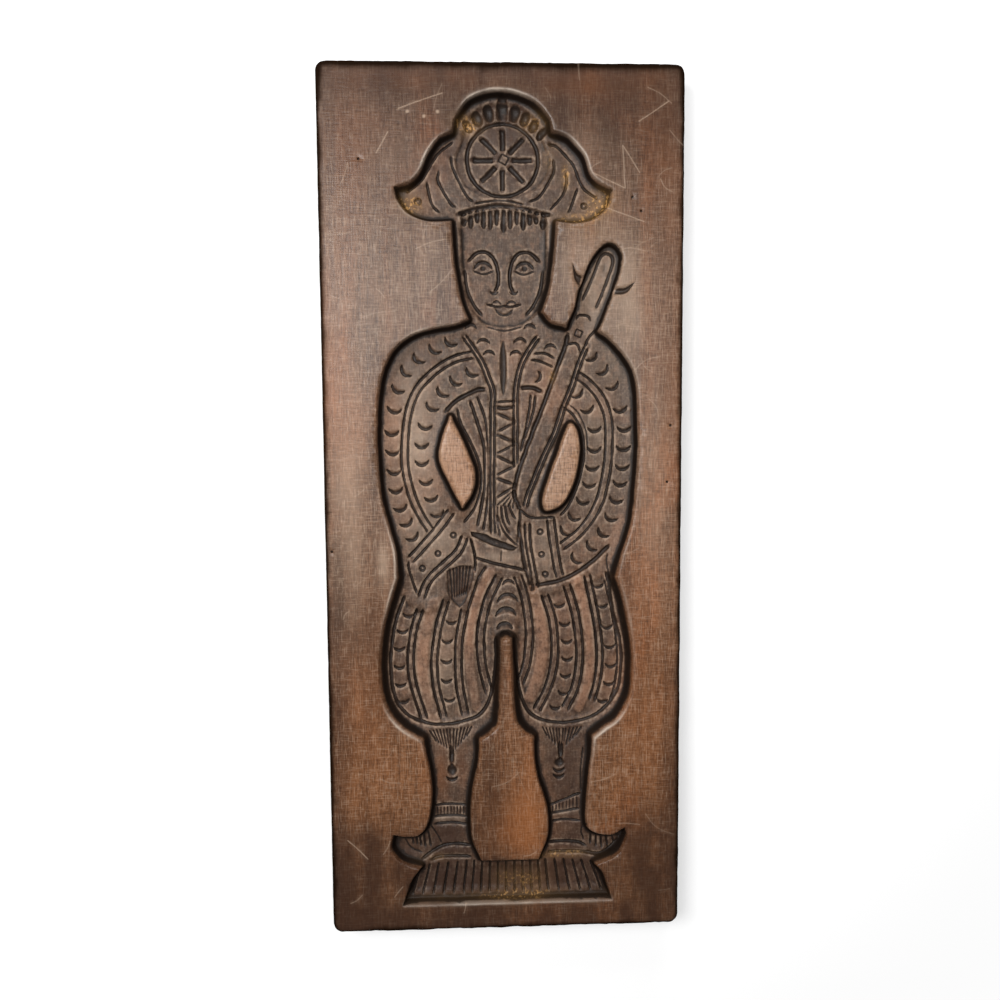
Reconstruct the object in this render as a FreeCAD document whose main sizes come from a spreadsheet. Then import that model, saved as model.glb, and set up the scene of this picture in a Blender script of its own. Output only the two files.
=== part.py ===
import FreeCAD, Part
import math
import os

import Sketcher
from FreeCAD import Vector

# A carved wooden biscuit mould: one board with a standing figure sunk into its face.
# The board lies on its back, face up, with the figure's head towards +Y.
# The origin is the centre of the back face. The figure is drawn in millimetres about the
# centre of the face, at the size DRAWN_WIDTH by DRAWN_LENGTH, and follows the board's margins.

NODE = "mould_board"
DRAWN_WIDTH = 187.0
DRAWN_LENGTH = 563.0

SIZES = {
    "board_length": 600.0,
    "board_width": 247.0,
    "board_thickness": 28.0,
    "end_margin": 18.5,
    "side_margin": 30.0,
    "corner_radius": 7.0,
    "rim_round": 2.5,
    "recess_depth": 8.0,
    "wall_slope": 24.0,
    "face_drop": 2.0,
    "breeches_drop": 1.5,
    "crown_drop": 1.5,
    "hook_depth": 3.5,
    "cut_depth": 1.6,
    "crescent_span": 9.5,
    "crescent_width": 3.0,
    "breeches_crescent_span": 6.4,
    "groove_width": 2.0,
    "spoke_width": 3.2,
    "flute_width": 2.6,
    "button_radius": 2.4,
}

# The silhouette, clockwise from the tip of the left brim. Each run is one smooth stretch and
# the runs meet at corners.
FIGURE = [
    [(-72.5, 218), (-62, 222), (-55.5, 229), (-50, 241), (-43, 250), (-33.5, 255)],
    [(-33.5, 255), (-31, 264.5), (-21, 276.5), (-2, 281.5), (19, 276.5), (31, 265), (34, 255.5)],
    [(34, 255.5), (45, 251.5), (55, 240.5), (61, 226), (74.5, 217)],
    [(74.5, 217), (72, 206.5), (62, 197.5), (49, 194.8), (37, 196)],
    [(37, 196), (35, 175), (32, 152), (27, 136)],
    [(27, 136), (33, 129), (43, 126)],
    [(43, 126), (48.6, 138.6), (52.5, 153), (61, 172), (71, 182), (79.5, 178), (81, 167), (73, 141.4),
     (65.5, 123)],
    [(65.5, 123), (74, 116), (84.5, 104.5), (91, 90), (93, 65), (93.3, 40), (91.5, 12), (88, -13),
     (82, -32), (78.4, -48)],
    [(78.4, -48), (83.2, -61), (88, -83.5), (90.4, -109), (88.5, -131.5), (80.4, -147.5), (70, -155.5),
     (62.3, -161.5)],
    [(62.3, -161.5), (59.8, -183.5), (57.7, -206.5), (57.3, -225), (63, -231.5), (74.6, -233.5),
     (84.5, -228.5)],
    [(84.5, -228.5), (86, -235)],
    [(86, -235), (79.5, -247.5), (64, -255)],
    [(64, -255), (70, -263.5), (75, -280.8)],
    [(75, -280.8), (-73.3, -280.8)],
    [(-73.3, -280.8), (-68.5, -265), (-61, -254.5)],
    [(-61, -254.5), (-73.8, -249.6), (-81.5, -240), (-80, -229.6)],
    [(-80, -229.6), (-70.8, -231), (-61.5, -230), (-55.5, -221), (-52.7, -200.4), (-54.5, -181),
     (-59, -161.5)],
    [(-59, -161.5), (-72.6, -153), (-82.2, -141), (-87, -125), (-88, -107.5), (-85.5, -83),
     (-79.5, -61), (-75, -46)],
    [(-75, -46), (-75.5, -28), (-80, -10), (-85, 10), (-87, 35), (-86.8, 65), (-84, 89.5),
     (-77, 107), (-64.5, 119), (-49.5, 124.5), (-33, 127.5), (-24, 131)],
    [(-24, 131), (-29, 145), (-33, 168), (-35, 196)],
    [(-35, 196), (-51.5, 196), (-64, 201), (-71, 210), (-72.5, 218)],
]

# The places left standing at the board's own level: inside each arm, and between the legs.
ISLANDS = [
    [[(-36.5, 65), (-42.5, 49.5), (-44.3, 36), (-38.5, 21.5), (-29, 2.5)],
     [(-29, 2.5), (-22.5, 12.5), (-20.7, 27), (-27, 44.5), (-36.5, 65)]],
    [[(46.5, 59.5), (41.5, 49.5), (34.3, 31), (27, 8), (30.5, 0), (41.4, 5.7), (49.3, 23.5),
      (52.1, 42), (46.5, 59.5)]],
    [[(-1.8, -91), (-2.8, -117), (-4.2, -147.5), (-9.4, -156), (-17.7, -162)],
     [(-17.7, -162), (-19.5, -178), (-24.2, -204), (-24.2, -232), (-18, -250)],
     [(-18, -250), (23, -250)],
     [(23, -250), (29.3, -232), (28, -210), (21, -185), (19.2, -162)],
     [(19.2, -162), (11.6, -156), (6.4, -146), (4.4, -120), (3.6, -91)],
     [(3.6, -91), (-1.8, -91)]],
]

# Areas sunk below the floor of the recess.
FACE = [[(-29.5, 194), (-29, 165), (-24.5, 141), (-14, 127.5), (1, 124.3), (16, 127.5), (27, 141),
         (31, 165), (31.5, 194)],
        [(31.5, 194), (15, 203.5), (-0.5, 205), (-16, 203.5), (-29.5, 194)]]
CROWN = [[(-28.5, 250), (-24, 265), (-13, 274), (0.5, 276), (14, 273.5), (25, 264), (29.5, 250)],
         [(29.5, 250), (34, 236), (27, 221), (13, 213), (0.5, 211.5), (-13, 213), (-27, 221),
          (-33, 236), (-28.5, 250)]]
LEFT_BREECHES = [
    [(-70, -60), (-76.6, -78.6), (-80.6, -107), (-77.8, -132), (-67.8, -146), (-48, -152.6),
     (-27, -150), (-15.8, -143.4), (-9.4, -129), (-6.6, -107), (-6.2, -90)],
    [(-6.2, -90), (-8, -64), (-12, -46)],
    [(-12, -46), (-24, -52), (-46, -66), (-58, -70), (-70, -60)]]
RIGHT_BREECHES = [
    [(72, -45), (76.8, -71.4), (82, -96), (82.4, -118), (78, -134), (66, -146.5), (48.4, -152.6),
     (30, -152), (17, -145), (10.4, -129), (7.6, -107), (6.4, -90)],
    [(6.4, -90), (8, -64), (10, -46)],
    [(10, -46), (22, -59), (44, -55), (72, -45)]]

# The two hooks of the stock, cut shallow.
HOOKS = [
    [[(53, 150), (48.2, 157.5), (46.8, 169.5)], [(46.8, 169.5), (51, 162), (59.5, 160)],
     [(59.5, 160), (53, 150)]],
    [[(73, 154), (82, 152.3), (90.4, 156)], [(90.4, 156), (84, 147.5), (71, 146)],
     [(71, 146), (73, 154)]],
]

# Long grooves cut in the floor, each a smooth line through its points.
COAT_GROOVES = [
    [(-27, 117), (-20.7, 110.7), (-13.6, 98), (-9, 83.6), (-8, 60), (-8, 30), (-8, 2)],
    [(24.5, 117), (19.3, 110.7), (13.2, 99.3), (10.4, 84), (9, 68), (8.8, 48)],
    [(-23, 75.7), (-18, 60), (-13.6, 44), (-13.4, 20), (-16, 0)],
    [(-31, 68), (-25.7, 53), (-18, 36.4), (-15.8, 17)],
    [(-12, 84), (-26.4, 80), (-39, 70)],
    [(11.8, 84), (20, 84.6), (28, 81.8)],
    [(21.4, 108), (29, 108.4), (35.7, 105)],
    [(19.3, 79), (18.2, 70.7), (14.3, 52)],
    [(43, 69.5), (50, 63), (55, 53), (55.7, 38), (51.4, 16.4), (42, -1)],
]
GUN_GROOVES = [
    [(44, 118), (38.6, 100.7), (28.6, 74.3), (17.5, 46), (10, 24), (7.6, 10)],
    [(62, 121.5), (54.3, 106.4), (46.4, 85.7), (39, 63.6), (29, 42), (18.6, 17), (13.8, 3)],
    [(55.5, 146), (60, 157), (65.5, 168)],
    [(65.5, 141), (70, 154), (74, 167)],
]
BRAID_GROOVES = [
    [(-21, 107.5), (-33.6, 104.4), (-45.4, 97.5), (-57, 87), (-64.5, 72), (-68, 55), (-68.6, 36),
     (-66, 15), (-59, -3), (-52.5, -14)],
    [(54, 92), (61.5, 86), (69.3, 75), (73.6, 60), (73.8, 38), (71, 17), (64.7, -2),
     (53.5, -17), (41, -26)],
]
WAIST_GROOVES = [
    [(-37, -1), (-46, -12), (-56, -24), (-65, -33)],
    [(-28.6, -19), (-34.6, -30), (-47, -43), (-56, -54)],
    [(-22.5, -17.5), (-11, -21), (0, -24.5), (9.5, -27)],
    [(-19.5, -34.2), (-8, -37.5), (0, -39.6), (12, -42.2)],
    [(12.6, -10), (13.2, -22), (16, -40), (20, -52)],
    [(32.6, -8), (34.3, -24), (39.5, -44)],
    [(23.6, -54.5), (35.7, -51.4), (49.3, -46), (60.7, -38.6), (70, -30)],
]
STRIPES = [
    [(-62.2, -76), (-67.8, -96), (-67.6, -120), (-61, -143)],
    [(-57, -74), (-63.6, -95), (-63, -122), (-56, -144)],
    [(-43.5, -70), (-51, -95), (-50.8, -126), (-46, -146)],
    [(-40.5, -70), (-47, -98), (-46, -128), (-42, -146)],
    [(-31.5, -74), (-35.4, -104), (-33.6, -132), (-31, -146)],
    [(-15, -51), (-24.2, -68), (-30.4, -100), (-29, -132), (-26.4, -144)],
    [(-13.5, -61), (-19.6, -86), (-18, -115), (-13.6, -132)],
    [(-9.5, -66), (-14.3, -92), (-10.8, -124)],
    [(12, -66), (14.8, -85), (13, -105), (10.4, -118)],
    [(17, -62), (20.4, -90), (18, -114), (13.5, -126)],
    [(28, -66), (33.2, -98), (30, -124), (21.5, -142)],
    [(33, -65), (38.4, -96), (35.5, -120), (26, -142)],
    [(43, -60), (50.6, -94), (49.5, -122), (40.5, -143.5)],
    [(49, -60), (56, -100), (53.5, -125), (46.8, -141)],
    [(58.8, -57), (65.4, -92), (64.8, -122), (59, -142)],
    [(63.5, -58), (69.8, -98), (66.4, -131)],
]
BRIM_GROOVES = [
    [(-64, 214.5), (-54, 222.5), (-47, 235), (-41, 244)],
    [(65, 211.5), (52, 223.5), (48.5, 235), (41, 244)],
    [(-39, 235), (-37, 222), (-29, 211.5)],
    [(-46.5, 226), (-45.5, 214), (-37.5, 205.5)],
    [(39.5, 235), (38, 221), (29, 210.5)],
    [(47.5, 224.5), (45.5, 212), (38.5, 204.5)],
]

# Crescents, each by its centre and the direction in which it opens, in degrees from +X.
SLEEVE_CRESCENTS = [
    (-36.5, 114.5, 60), (-47.5, 110, 60), (-58.5, 104, 50), (-67.5, 95, 40), (-73, 83.5, 60),
    (-75.3, 69.5, 80), (-77, 54, 90), (-76.8, 40.5, 90), (-76, 27, 90), (-75, 14, 100),
    (-71.5, 1.5, 110), (-67.5, -9, 120), (-63, -19, 120),
    (-22, 94.5, 60), (-33.5, 89, 60), (-43, 81.5, 50), (-50, 71, 60), (-54.5, 58, 80),
    (-56.5, 45, 90), (-56, 32, 90), (-53.5, 19.5, 90), (-50, 8, 100), (-46, -3, 110),
    (62, 104.5, 120), (70, 95, 130), (77, 84, 120), (81, 69, 100), (83, 55.5, 90), (83.5, 42, 90),
    (82.5, 29, 90), (81, 17, 80), (78, 4, 70), (74.5, -8, 60), (68.5, -19, 50), (60, -28, 40),
    (52, 80.5, 120), (59, 69.5, 110), (64, 55.5, 90), (63.5, 41.5, 90), (62, 28.5, 90),
    (59.5, 16, 80), (55, 4, 70), (48.5, -7, 60), (42.5, -17, 50),
    (-13.5, 116.5, 270), (13, 117, 270),
]
BREECHES_CRESCENTS = [
    (-72, -88, 90), (-73.5, -100, 90), (-73.8, -112, 90), (-73.4, -124, 90), (-70.5, -135.5, 90),
    (-37.7, -80, 90), (-40.8, -93.5, 90), (-41.2, -107.5, 90), (-40.6, -121.5, 90),
    (-38.8, -135.5, 90),
    (38, -70, 90), (42.3, -82, 90), (44.5, -94, 90), (44.6, -107, 90), (43, -119, 90),
    (40, -131, 90), (72.6, -84, 90), (75, -98, 90), (76, -113, 90), (73.8, -126, 90),
    (2.2, -61.4, 270), (1, -71, 270), (0.4, -81, 270),
]

# Oval gouge cuts above the rosette: centre, half width, half height and lean in degrees.
PETALS = [(0.5, 269.5, 3.4, 5.2, 0), (-8.3, 268, 3.0, 4.6, 12), (-15.8, 264.6, 2.8, 3.9, 22),
          (-22, 260, 2.4, 3.3, 30), (9.3, 267.6, 3.0, 4.4, -12), (16.6, 264, 2.8, 3.8, -22),
          (22.8, 259.4, 2.4, 3.4, -30)]
ROSETTE = (0.5, 238.5)
ROSETTE_RADIUS = 23.2
SPOKE_COUNT = 8
SPOKE_REACH = (6.5, 19.0)
HUB_RADIUS = 3.0
RING_CORNERS = 24
SMALL_CORNERS = 8

# Rows of straight cuts: first place, last place and how many, each place an upper and a lower end.
FRINGE = [((-27.5, 200, -25, 192.5), (28.5, 199.5, 27, 192.5), 11)]
LEFT_TASSEL = [((-54.5, -158.5, -50, -166.5), (-27, -157.5, -25.5, -165), 9)]
RIGHT_TASSEL = [((30, -157.5, 28, -165), (57, -158.5, 53, -166.5), 9)]
ANKLES = [((-46.5, -211.5, -46.5, -219), (-30.5, -211.5, -30.5, -219), 6),
          ((35, -211.5, 35, -219), (51, -207.5, 51, -216), 6)]
FLUTES = [((-59, -257.5, -64, -273.5), (-32, -257.5, -34, -273.5), 4),
          ((-24, -257.5, -25, -273.5), (25, -257.5, 26, -273.5), 9),
          ((34, -257.5, 36, -273.5), (60, -257.5, 65, -273.5), 4)]
LACING = [(-3.6, 66, 6.2, 61), (-3.6, 51, 6.2, 46), (-3.6, 36, 6.2, 31), (-3.6, 21.5, 6.2, 16.5)]
BUTTONS = [(-57, 210.5), (56, 208), (-37, -18.5), (-47.5, -31.5), (-58, -42), (25, -16.5),
           (26, -31.5), (28.5, -45)]
SHOE_BANDS = [(-48, -224.5, -31, -224.5), (35, -224.5, 52, -224.5), (-47, -241, -32, -241),
              (36, -241, 53, -241)]

# The plain carved face, set out from the height and width of the face alone.
FACE_MIDDLE = 1.0
FACE_TOP = 205.0
FACE_CHIN = 124.3
FACE_HALF = 30.5
EYE_LINE = FACE_CHIN + 0.53 * (FACE_TOP - FACE_CHIN)
NOSE_LINE = FACE_CHIN + 0.32 * (FACE_TOP - FACE_CHIN)
MOUTH_LINE = FACE_CHIN + 0.2 * (FACE_TOP - FACE_CHIN)
EYE_OUT = 0.42 * FACE_HALF
EYE_SPAN = 0.38 * FACE_HALF
NOSE_OUT = 0.15 * FACE_HALF
CHEEK_OUT = 0.72 * FACE_HALF

document = FreeCAD.newDocument("biscuit_mould")
sheet = document.addObject("Spreadsheet::Sheet", "sizes")
for row, (alias, value) in enumerate(SIZES.items(), start=1):
    sheet.set("A%d" % row, alias)
    sheet.set("B%d" % row, str(value))
    sheet.setAlias("B%d" % row, alias)
document.recompute()


def size(alias):
    """The value of one cell of the sheet."""
    return float(sheet.get(alias))


def bind(feature, name, formula):
    """Ties a property of a feature to the cells of the sheet."""
    feature.setExpression(name, formula)


def placed(point):
    """A drawn point moved to its place on the board."""
    across = (size("board_width") - 2 * size("side_margin")) / DRAWN_WIDTH
    along = (size("board_length") - 2 * size("end_margin")) / DRAWN_LENGTH
    return Vector(point[0] * across, point[1] * along, 0)


def through(points, pieces=2):
    """A smooth run through the points: each span is cut into pieces of a Catmull-Rom curve."""
    if len(points) < 3:
        return [placed(point) for point in points[:-1]]
    known = [placed(point) for point in points]
    known = [known[0] * 2 - known[1]] + known + [known[-1] * 2 - known[-2]]
    run = []
    for before, start, end, after in zip(known, known[1:], known[2:], known[3:]):
        for step in range(pieces):
            t = step / pieces
            run.append((start * 2 + (end - before) * t
                        + (before * 2 - start * 5 + end * 4 - after) * t ** 2
                        + (start * 3 - before - end * 3 + after) * t ** 3) * 0.5)
    return run


def loop(points):
    """The closed loop of straight edges through the points."""
    return [Part.LineSegment(a, b) for a, b in zip(points, points[1:] + points[:1])]


def outline(runs):
    """The closed outline that follows the runs."""
    return loop([point for run in runs for point in through(run)])


def groove(points, width):
    """A band of one width along a smooth line, with square ends."""
    line = through(points) + [placed(points[-1])]
    left = []
    right = []
    for index, point in enumerate(line):
        along = line[min(index + 1, len(line) - 1)] - line[max(index - 1, 0)]
        across = Vector(-along.y, along.x, 0).normalize() * (width / 2)
        left.append(point + across)
        right.append(point - across)
    right.reverse()
    return loop(left + right)


def slot(start, end, width):
    """A straight cut that narrows to a blunt point at both ends."""
    along = (end - start).normalize() * (width / 2)
    across = Vector(-along.y, along.x, 0)
    return loop([start + across, end + across, end + along, end - across, start - across,
                 start - along])


def oval(centre, half_across, half_along, corners, angle=0.0):
    """A round or oval cut with the given number of corners."""
    turn = FreeCAD.Rotation(Vector(0, 0, 1), angle)
    angles = [2 * math.pi * (index + 0.5) / corners for index in range(corners)]
    return loop([centre + turn.multVec(Vector(half_across * math.cos(a), half_along * math.sin(a), 0))
                 for a in angles])


def crescent(place, span):
    """A gouge cut: a thin moon that opens towards the direction of its place."""
    centre = placed(place[:2])
    half = span / 2
    thick = size("crescent_width")
    turn = FreeCAD.Rotation(Vector(0, 0, 1), place[2] - 90)
    moon = [(-1, 0.5 * half), (-0.68, -0.2 * half), (0, -0.45 * half - 0.1 * thick),
            (0.68, -0.2 * half), (1, 0.5 * half), (0, -0.45 * half + 0.9 * thick)]
    return loop([centre + turn.multVec(Vector(x * half, y, 0)) for x, y in moon])


def row(first, last, count, width):
    """Straight cuts at even steps from the first place to the last."""
    cuts = []
    for index in range(count):
        share = index / (count - 1)
        x0, y0, x1, y1 = (a + (b - a) * share for a, b in zip(first, last))
        cuts += slot(placed((x0, y0)), placed((x1, y1)), width)
    return cuts


def rosette():
    """The ring on the front of the hat, with its hub and spokes."""
    centre = placed(ROSETTE)
    half = size("groove_width") / 2
    edges = []
    for radius in (ROSETTE_RADIUS - half, ROSETTE_RADIUS + half):
        edges += oval(centre, radius, radius, RING_CORNERS)
    edges += oval(centre, HUB_RADIUS, HUB_RADIUS, SMALL_CORNERS)
    for index in range(SPOKE_COUNT):
        angle = 2 * math.pi * index / SPOKE_COUNT
        out = Vector(math.cos(angle), math.sin(angle), 0)
        edges += slot(centre + out * SPOKE_REACH[0], centre + out * SPOKE_REACH[1],
                      size("spoke_width"))
    return edges


def face_cuts():
    """Brows that run into the nose, half-moon eyes, a small mouth and cheek lines."""
    edges = []
    width = size("groove_width")
    for side in (-1, 1):
        def at(out, height):
            return (FACE_MIDDLE + side * out, height)
        edges += groove([at(EYE_OUT + 0.62 * EYE_SPAN, EYE_LINE + 4), at(EYE_OUT, EYE_LINE + 8),
                         at(NOSE_OUT + 2, EYE_LINE + 5), at(NOSE_OUT, EYE_LINE - 3),
                         at(NOSE_OUT + 1, NOSE_LINE)], width)
        edges += slot(placed(at(EYE_OUT - 0.3 * EYE_SPAN, EYE_LINE)),
                      placed(at(EYE_OUT + 0.3 * EYE_SPAN, EYE_LINE)), 2 * width)
        edges += groove([at(CHEEK_OUT, EYE_LINE - 6), at(CHEEK_OUT - 1, NOSE_LINE),
                         at(CHEEK_OUT - 6, MOUTH_LINE)], width)
    edges += groove([(FACE_MIDDLE - EYE_OUT * 0.8, MOUTH_LINE + 2), (FACE_MIDDLE, MOUTH_LINE),
                     (FACE_MIDDLE + EYE_OUT * 0.8, MOUTH_LINE + 2)], width)
    return edges


def origin_plane(owner, role):
    """One of the body's own origin planes."""
    return next(item for item in owner.Origin.OriginFeatures if item.Role == role)


def face_sketch(label, edges):
    """A sketch on the board's face that holds closed loops."""
    sketch = body.newObject("Sketcher::SketchObject", label)
    sketch.AttachmentSupport = [(origin_plane(body, "XY_Plane"), "")]
    sketch.MapMode = "FlatFace"
    bind(sketch, ".AttachmentOffset.Base.z", "sizes.board_thickness")
    sketch.addGeometry(edges, False)
    return sketch


def sink(label, edges, depth, slope=None):
    """A pocket from the board's face down to a depth, with upright or sloping walls."""
    sketch = face_sketch(label + "_outline", edges)
    pocket = body.newObject("PartDesign::Pocket", label)
    pocket.Profile = sketch
    pocket.Refine = False
    bind(pocket, "Length", depth)
    if slope:
        bind(pocket, "TaperAngle", slope)
    before = body.Shape.Volume
    document.recompute()
    if not body.Shape.Volume < before:
        raise RuntimeError("%s cuts nothing" % label)
    return pocket


def round_edges(label, radius, wanted):
    """A fillet along the edges of the tip that the test picks."""
    base = body.Tip
    names = ["Edge%d" % (index + 1) for index, edge in enumerate(base.Shape.Edges) if wanted(edge)]
    fillet = body.newObject("PartDesign::Fillet", label)
    fillet.Base = (base, names)
    bind(fillet, "Radius", radius)
    document.recompute()
    return fillet


def is_upright(edge):
    """An edge that runs straight up through the board."""
    return edge.BoundBox.ZLength > edge.BoundBox.XLength + edge.BoundBox.YLength


body = document.addObject("PartDesign::Body", NODE)
body.Label = NODE

blank_sketch = body.newObject("Sketcher::SketchObject", "blank_outline")
blank_sketch.AttachmentSupport = [(origin_plane(body, "XY_Plane"), "")]
blank_sketch.MapMode = "FlatFace"
half_width = size("board_width") / 2
half_length = size("board_length") / 2
blank_sketch.addGeometry(loop([Vector(-half_width, -half_length, 0), Vector(half_width, -half_length, 0),
                               Vector(half_width, half_length, 0), Vector(-half_width, half_length, 0)]),
                         False)
for side in range(4):
    blank_sketch.addConstraint(Sketcher.Constraint("Coincident", side, 2, (side + 1) % 4, 1))
    blank_sketch.addConstraint(Sketcher.Constraint(("Horizontal", "Vertical")[side % 2], side))
blank_sketch.addConstraint(Sketcher.Constraint("Symmetric", 0, 1, 1, 2, -1, 1))
for name, kind, side in (("board_width", "DistanceX", 0), ("board_length", "DistanceY", 1)):
    number = blank_sketch.addConstraint(Sketcher.Constraint(kind, side, 1, side, 2, size(name)))
    blank_sketch.renameConstraint(number, name)
    bind(blank_sketch, "Constraints." + name, "sizes." + name)

blank = body.newObject("PartDesign::Pad", "blank")
blank.Profile = blank_sketch
bind(blank, "Length", "sizes.board_thickness")
document.recompute()
round_edges("corners", "sizes.corner_radius", is_upright)
round_edges("rims", "sizes.rim_round", lambda edge: not is_upright(edge))

sink("figure", outline(FIGURE) + [edge for runs in ISLANDS for edge in outline(runs)],
     "sizes.recess_depth", "-sizes.wall_slope")
sink("hooks", [edge for runs in HOOKS for edge in outline(runs)], "sizes.hook_depth")
sink("face", outline(FACE), "sizes.recess_depth + sizes.face_drop")
sink("crown", outline(CROWN), "sizes.recess_depth + sizes.crown_drop")
sink("breeches", outline(LEFT_BREECHES) + outline(RIGHT_BREECHES),
     "sizes.recess_depth + sizes.breeches_drop")

FLOOR_CUT = "sizes.recess_depth + sizes.cut_depth"
groove_width = size("groove_width")
button_radius = size("button_radius")
crescent_span = size("crescent_span")
sink("grooves", [edge for line in COAT_GROOVES + GUN_GROOVES + BRAID_GROOVES + WAIST_GROOVES
                 + BRIM_GROOVES for edge in groove(line, groove_width)], FLOOR_CUT)
sink("gouges", [edge for place in SLEEVE_CRESCENTS for edge in crescent(place, crescent_span)]
     + [edge for cuts in LEFT_TASSEL + RIGHT_TASSEL + ANKLES for edge in row(*cuts, groove_width)]
     + [edge for cuts in FLUTES for edge in row(*cuts, size("flute_width"))]
     + [edge for x0, y0, x1, y1 in LACING + SHOE_BANDS
        for edge in slot(placed((x0, y0)), placed((x1, y1)), groove_width)]
     + [edge for place in BUTTONS
        for edge in oval(placed(place), button_radius, button_radius, SMALL_CORNERS)],
     FLOOR_CUT)
BREECHES_CUT = FLOOR_CUT + " + sizes.breeches_drop"
for label, lines in (("odd_stripes", STRIPES[0::2]), ("even_stripes", STRIPES[1::2])):
    sink(label, [edge for line in lines for edge in groove(line, groove_width)], BREECHES_CUT)
sink("breeches_crescents", [edge for place in BREECHES_CRESCENTS
                            for edge in crescent(place, size("breeches_crescent_span"))],
     BREECHES_CUT)
sink("crown_cuts", rosette() + [edge for x, y, across, along, lean in PETALS
                                for edge in oval(placed((x, y)), across, along, SMALL_CORNERS, lean)],
     FLOOR_CUT + " + sizes.crown_drop")
sink("face_cuts", face_cuts() + [edge for cuts in FRINGE for edge in row(*cuts, groove_width)],
     FLOOR_CUT + " + sizes.face_drop")

for item in document.Objects:
    if "Invalid" in item.State or "Error" in item.State:
        raise RuntimeError("%s did not build: %s" % (item.Label, item.State))
if body.Shape.isNull() or not body.Shape.isValid():
    raise RuntimeError("%s has no valid shape" % body.Label)

os.makedirs("parts", exist_ok=True)
body.Shape.exportStep("parts/%s.step" % body.Label)
bounds = body.Shape.BoundBox
print("%s: %.1f x %.1f x %.1f mm, %.0f mm3, %d faces"
      % (body.Label, bounds.XLength, bounds.YLength, bounds.ZLength, body.Shape.Volume,
         len(body.Shape.Faces)))
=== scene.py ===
import logging
import math
from dataclasses import dataclass
from enum import Enum

import bpy
import numpy as np
from mathutils import Matrix, Vector


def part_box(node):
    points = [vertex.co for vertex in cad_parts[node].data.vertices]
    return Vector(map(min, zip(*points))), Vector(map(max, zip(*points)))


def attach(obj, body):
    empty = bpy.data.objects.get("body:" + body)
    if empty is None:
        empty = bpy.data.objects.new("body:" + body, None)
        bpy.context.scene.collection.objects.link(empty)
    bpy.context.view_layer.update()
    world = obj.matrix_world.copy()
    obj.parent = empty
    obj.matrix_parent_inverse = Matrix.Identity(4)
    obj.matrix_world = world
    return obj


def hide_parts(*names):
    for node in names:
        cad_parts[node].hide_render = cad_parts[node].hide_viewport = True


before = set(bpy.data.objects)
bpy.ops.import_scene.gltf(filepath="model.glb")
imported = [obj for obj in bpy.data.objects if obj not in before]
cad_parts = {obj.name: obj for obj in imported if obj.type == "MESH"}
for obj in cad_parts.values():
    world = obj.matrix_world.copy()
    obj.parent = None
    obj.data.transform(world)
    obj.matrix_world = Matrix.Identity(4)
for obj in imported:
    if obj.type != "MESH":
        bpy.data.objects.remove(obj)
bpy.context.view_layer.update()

LOG = logging.getLogger("mould")
MM = 0.001
Point = tuple[float, float]
Run = list[Point]

# The drawing is in millimetres about the centre of the board's face: x to the right, y towards
# the figure's head. Each run is one smooth stretch, and runs meet at corners.
FIGURE: list[Run] = [
    [(-72.5, 218), (-62, 222), (-55.5, 229), (-50, 241), (-43, 250), (-33.5, 255)],
    [(-33.5, 255), (-31, 264.5), (-21, 276.5), (-2, 281.5), (19, 276.5), (31, 265), (34, 255.5)],
    [(34, 255.5), (45, 251.5), (55, 240.5), (61, 226), (74.5, 217)],
    [(74.5, 217), (72, 206.5), (62, 197.5), (49, 194.8), (37, 196)],
    [(37, 196), (35, 175), (32, 152), (27, 136)],
    [(27, 136), (33, 129), (43, 126)],
    [(43, 126), (48.6, 138.6), (52.5, 153), (61, 172), (71, 182), (79.5, 178), (81, 167), (73, 141.4),
     (65.5, 123)],
    [(65.5, 123), (74, 116), (84.5, 104.5), (91, 90), (93, 65), (93.3, 40), (91.5, 12), (88, -13),
     (82, -32), (78.4, -48)],
    [(78.4, -48), (83.2, -61), (88, -83.5), (90.4, -109), (88.5, -131.5), (80.4, -147.5), (70, -155.5),
     (62.3, -161.5)],
    [(62.3, -161.5), (59.8, -183.5), (57.7, -206.5), (57.3, -225), (63, -231.5), (74.6, -233.5),
     (84.5, -228.5)],
    [(84.5, -228.5), (86, -235), (79.5, -247.5), (64, -255)],
    [(64, -255), (70, -263.5), (75, -280.8)],
    [(75, -280.8), (-73.3, -280.8)],
    [(-73.3, -280.8), (-68.5, -265), (-61, -254.5)],
    [(-61, -254.5), (-73.8, -249.6), (-81.5, -240), (-80, -229.6)],
    [(-80, -229.6), (-70.8, -231), (-61.5, -230), (-55.5, -221), (-52.7, -200.4), (-54.5, -181),
     (-59, -161.5)],
    [(-59, -161.5), (-72.6, -153), (-82.2, -141), (-87, -125), (-88, -107.5), (-85.5, -83),
     (-79.5, -61), (-75, -46)],
    [(-75, -46), (-75.5, -28), (-80, -10), (-85, 10), (-87, 35), (-86.8, 65), (-84, 89.5),
     (-77, 107), (-64.5, 119), (-49.5, 124.5), (-33, 127.5), (-24, 131)],
    [(-24, 131), (-29, 145), (-33, 168), (-35, 196)],
    [(-35, 196), (-51.5, 196), (-64, 201), (-71, 210), (-72.5, 218)],
]
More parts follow.
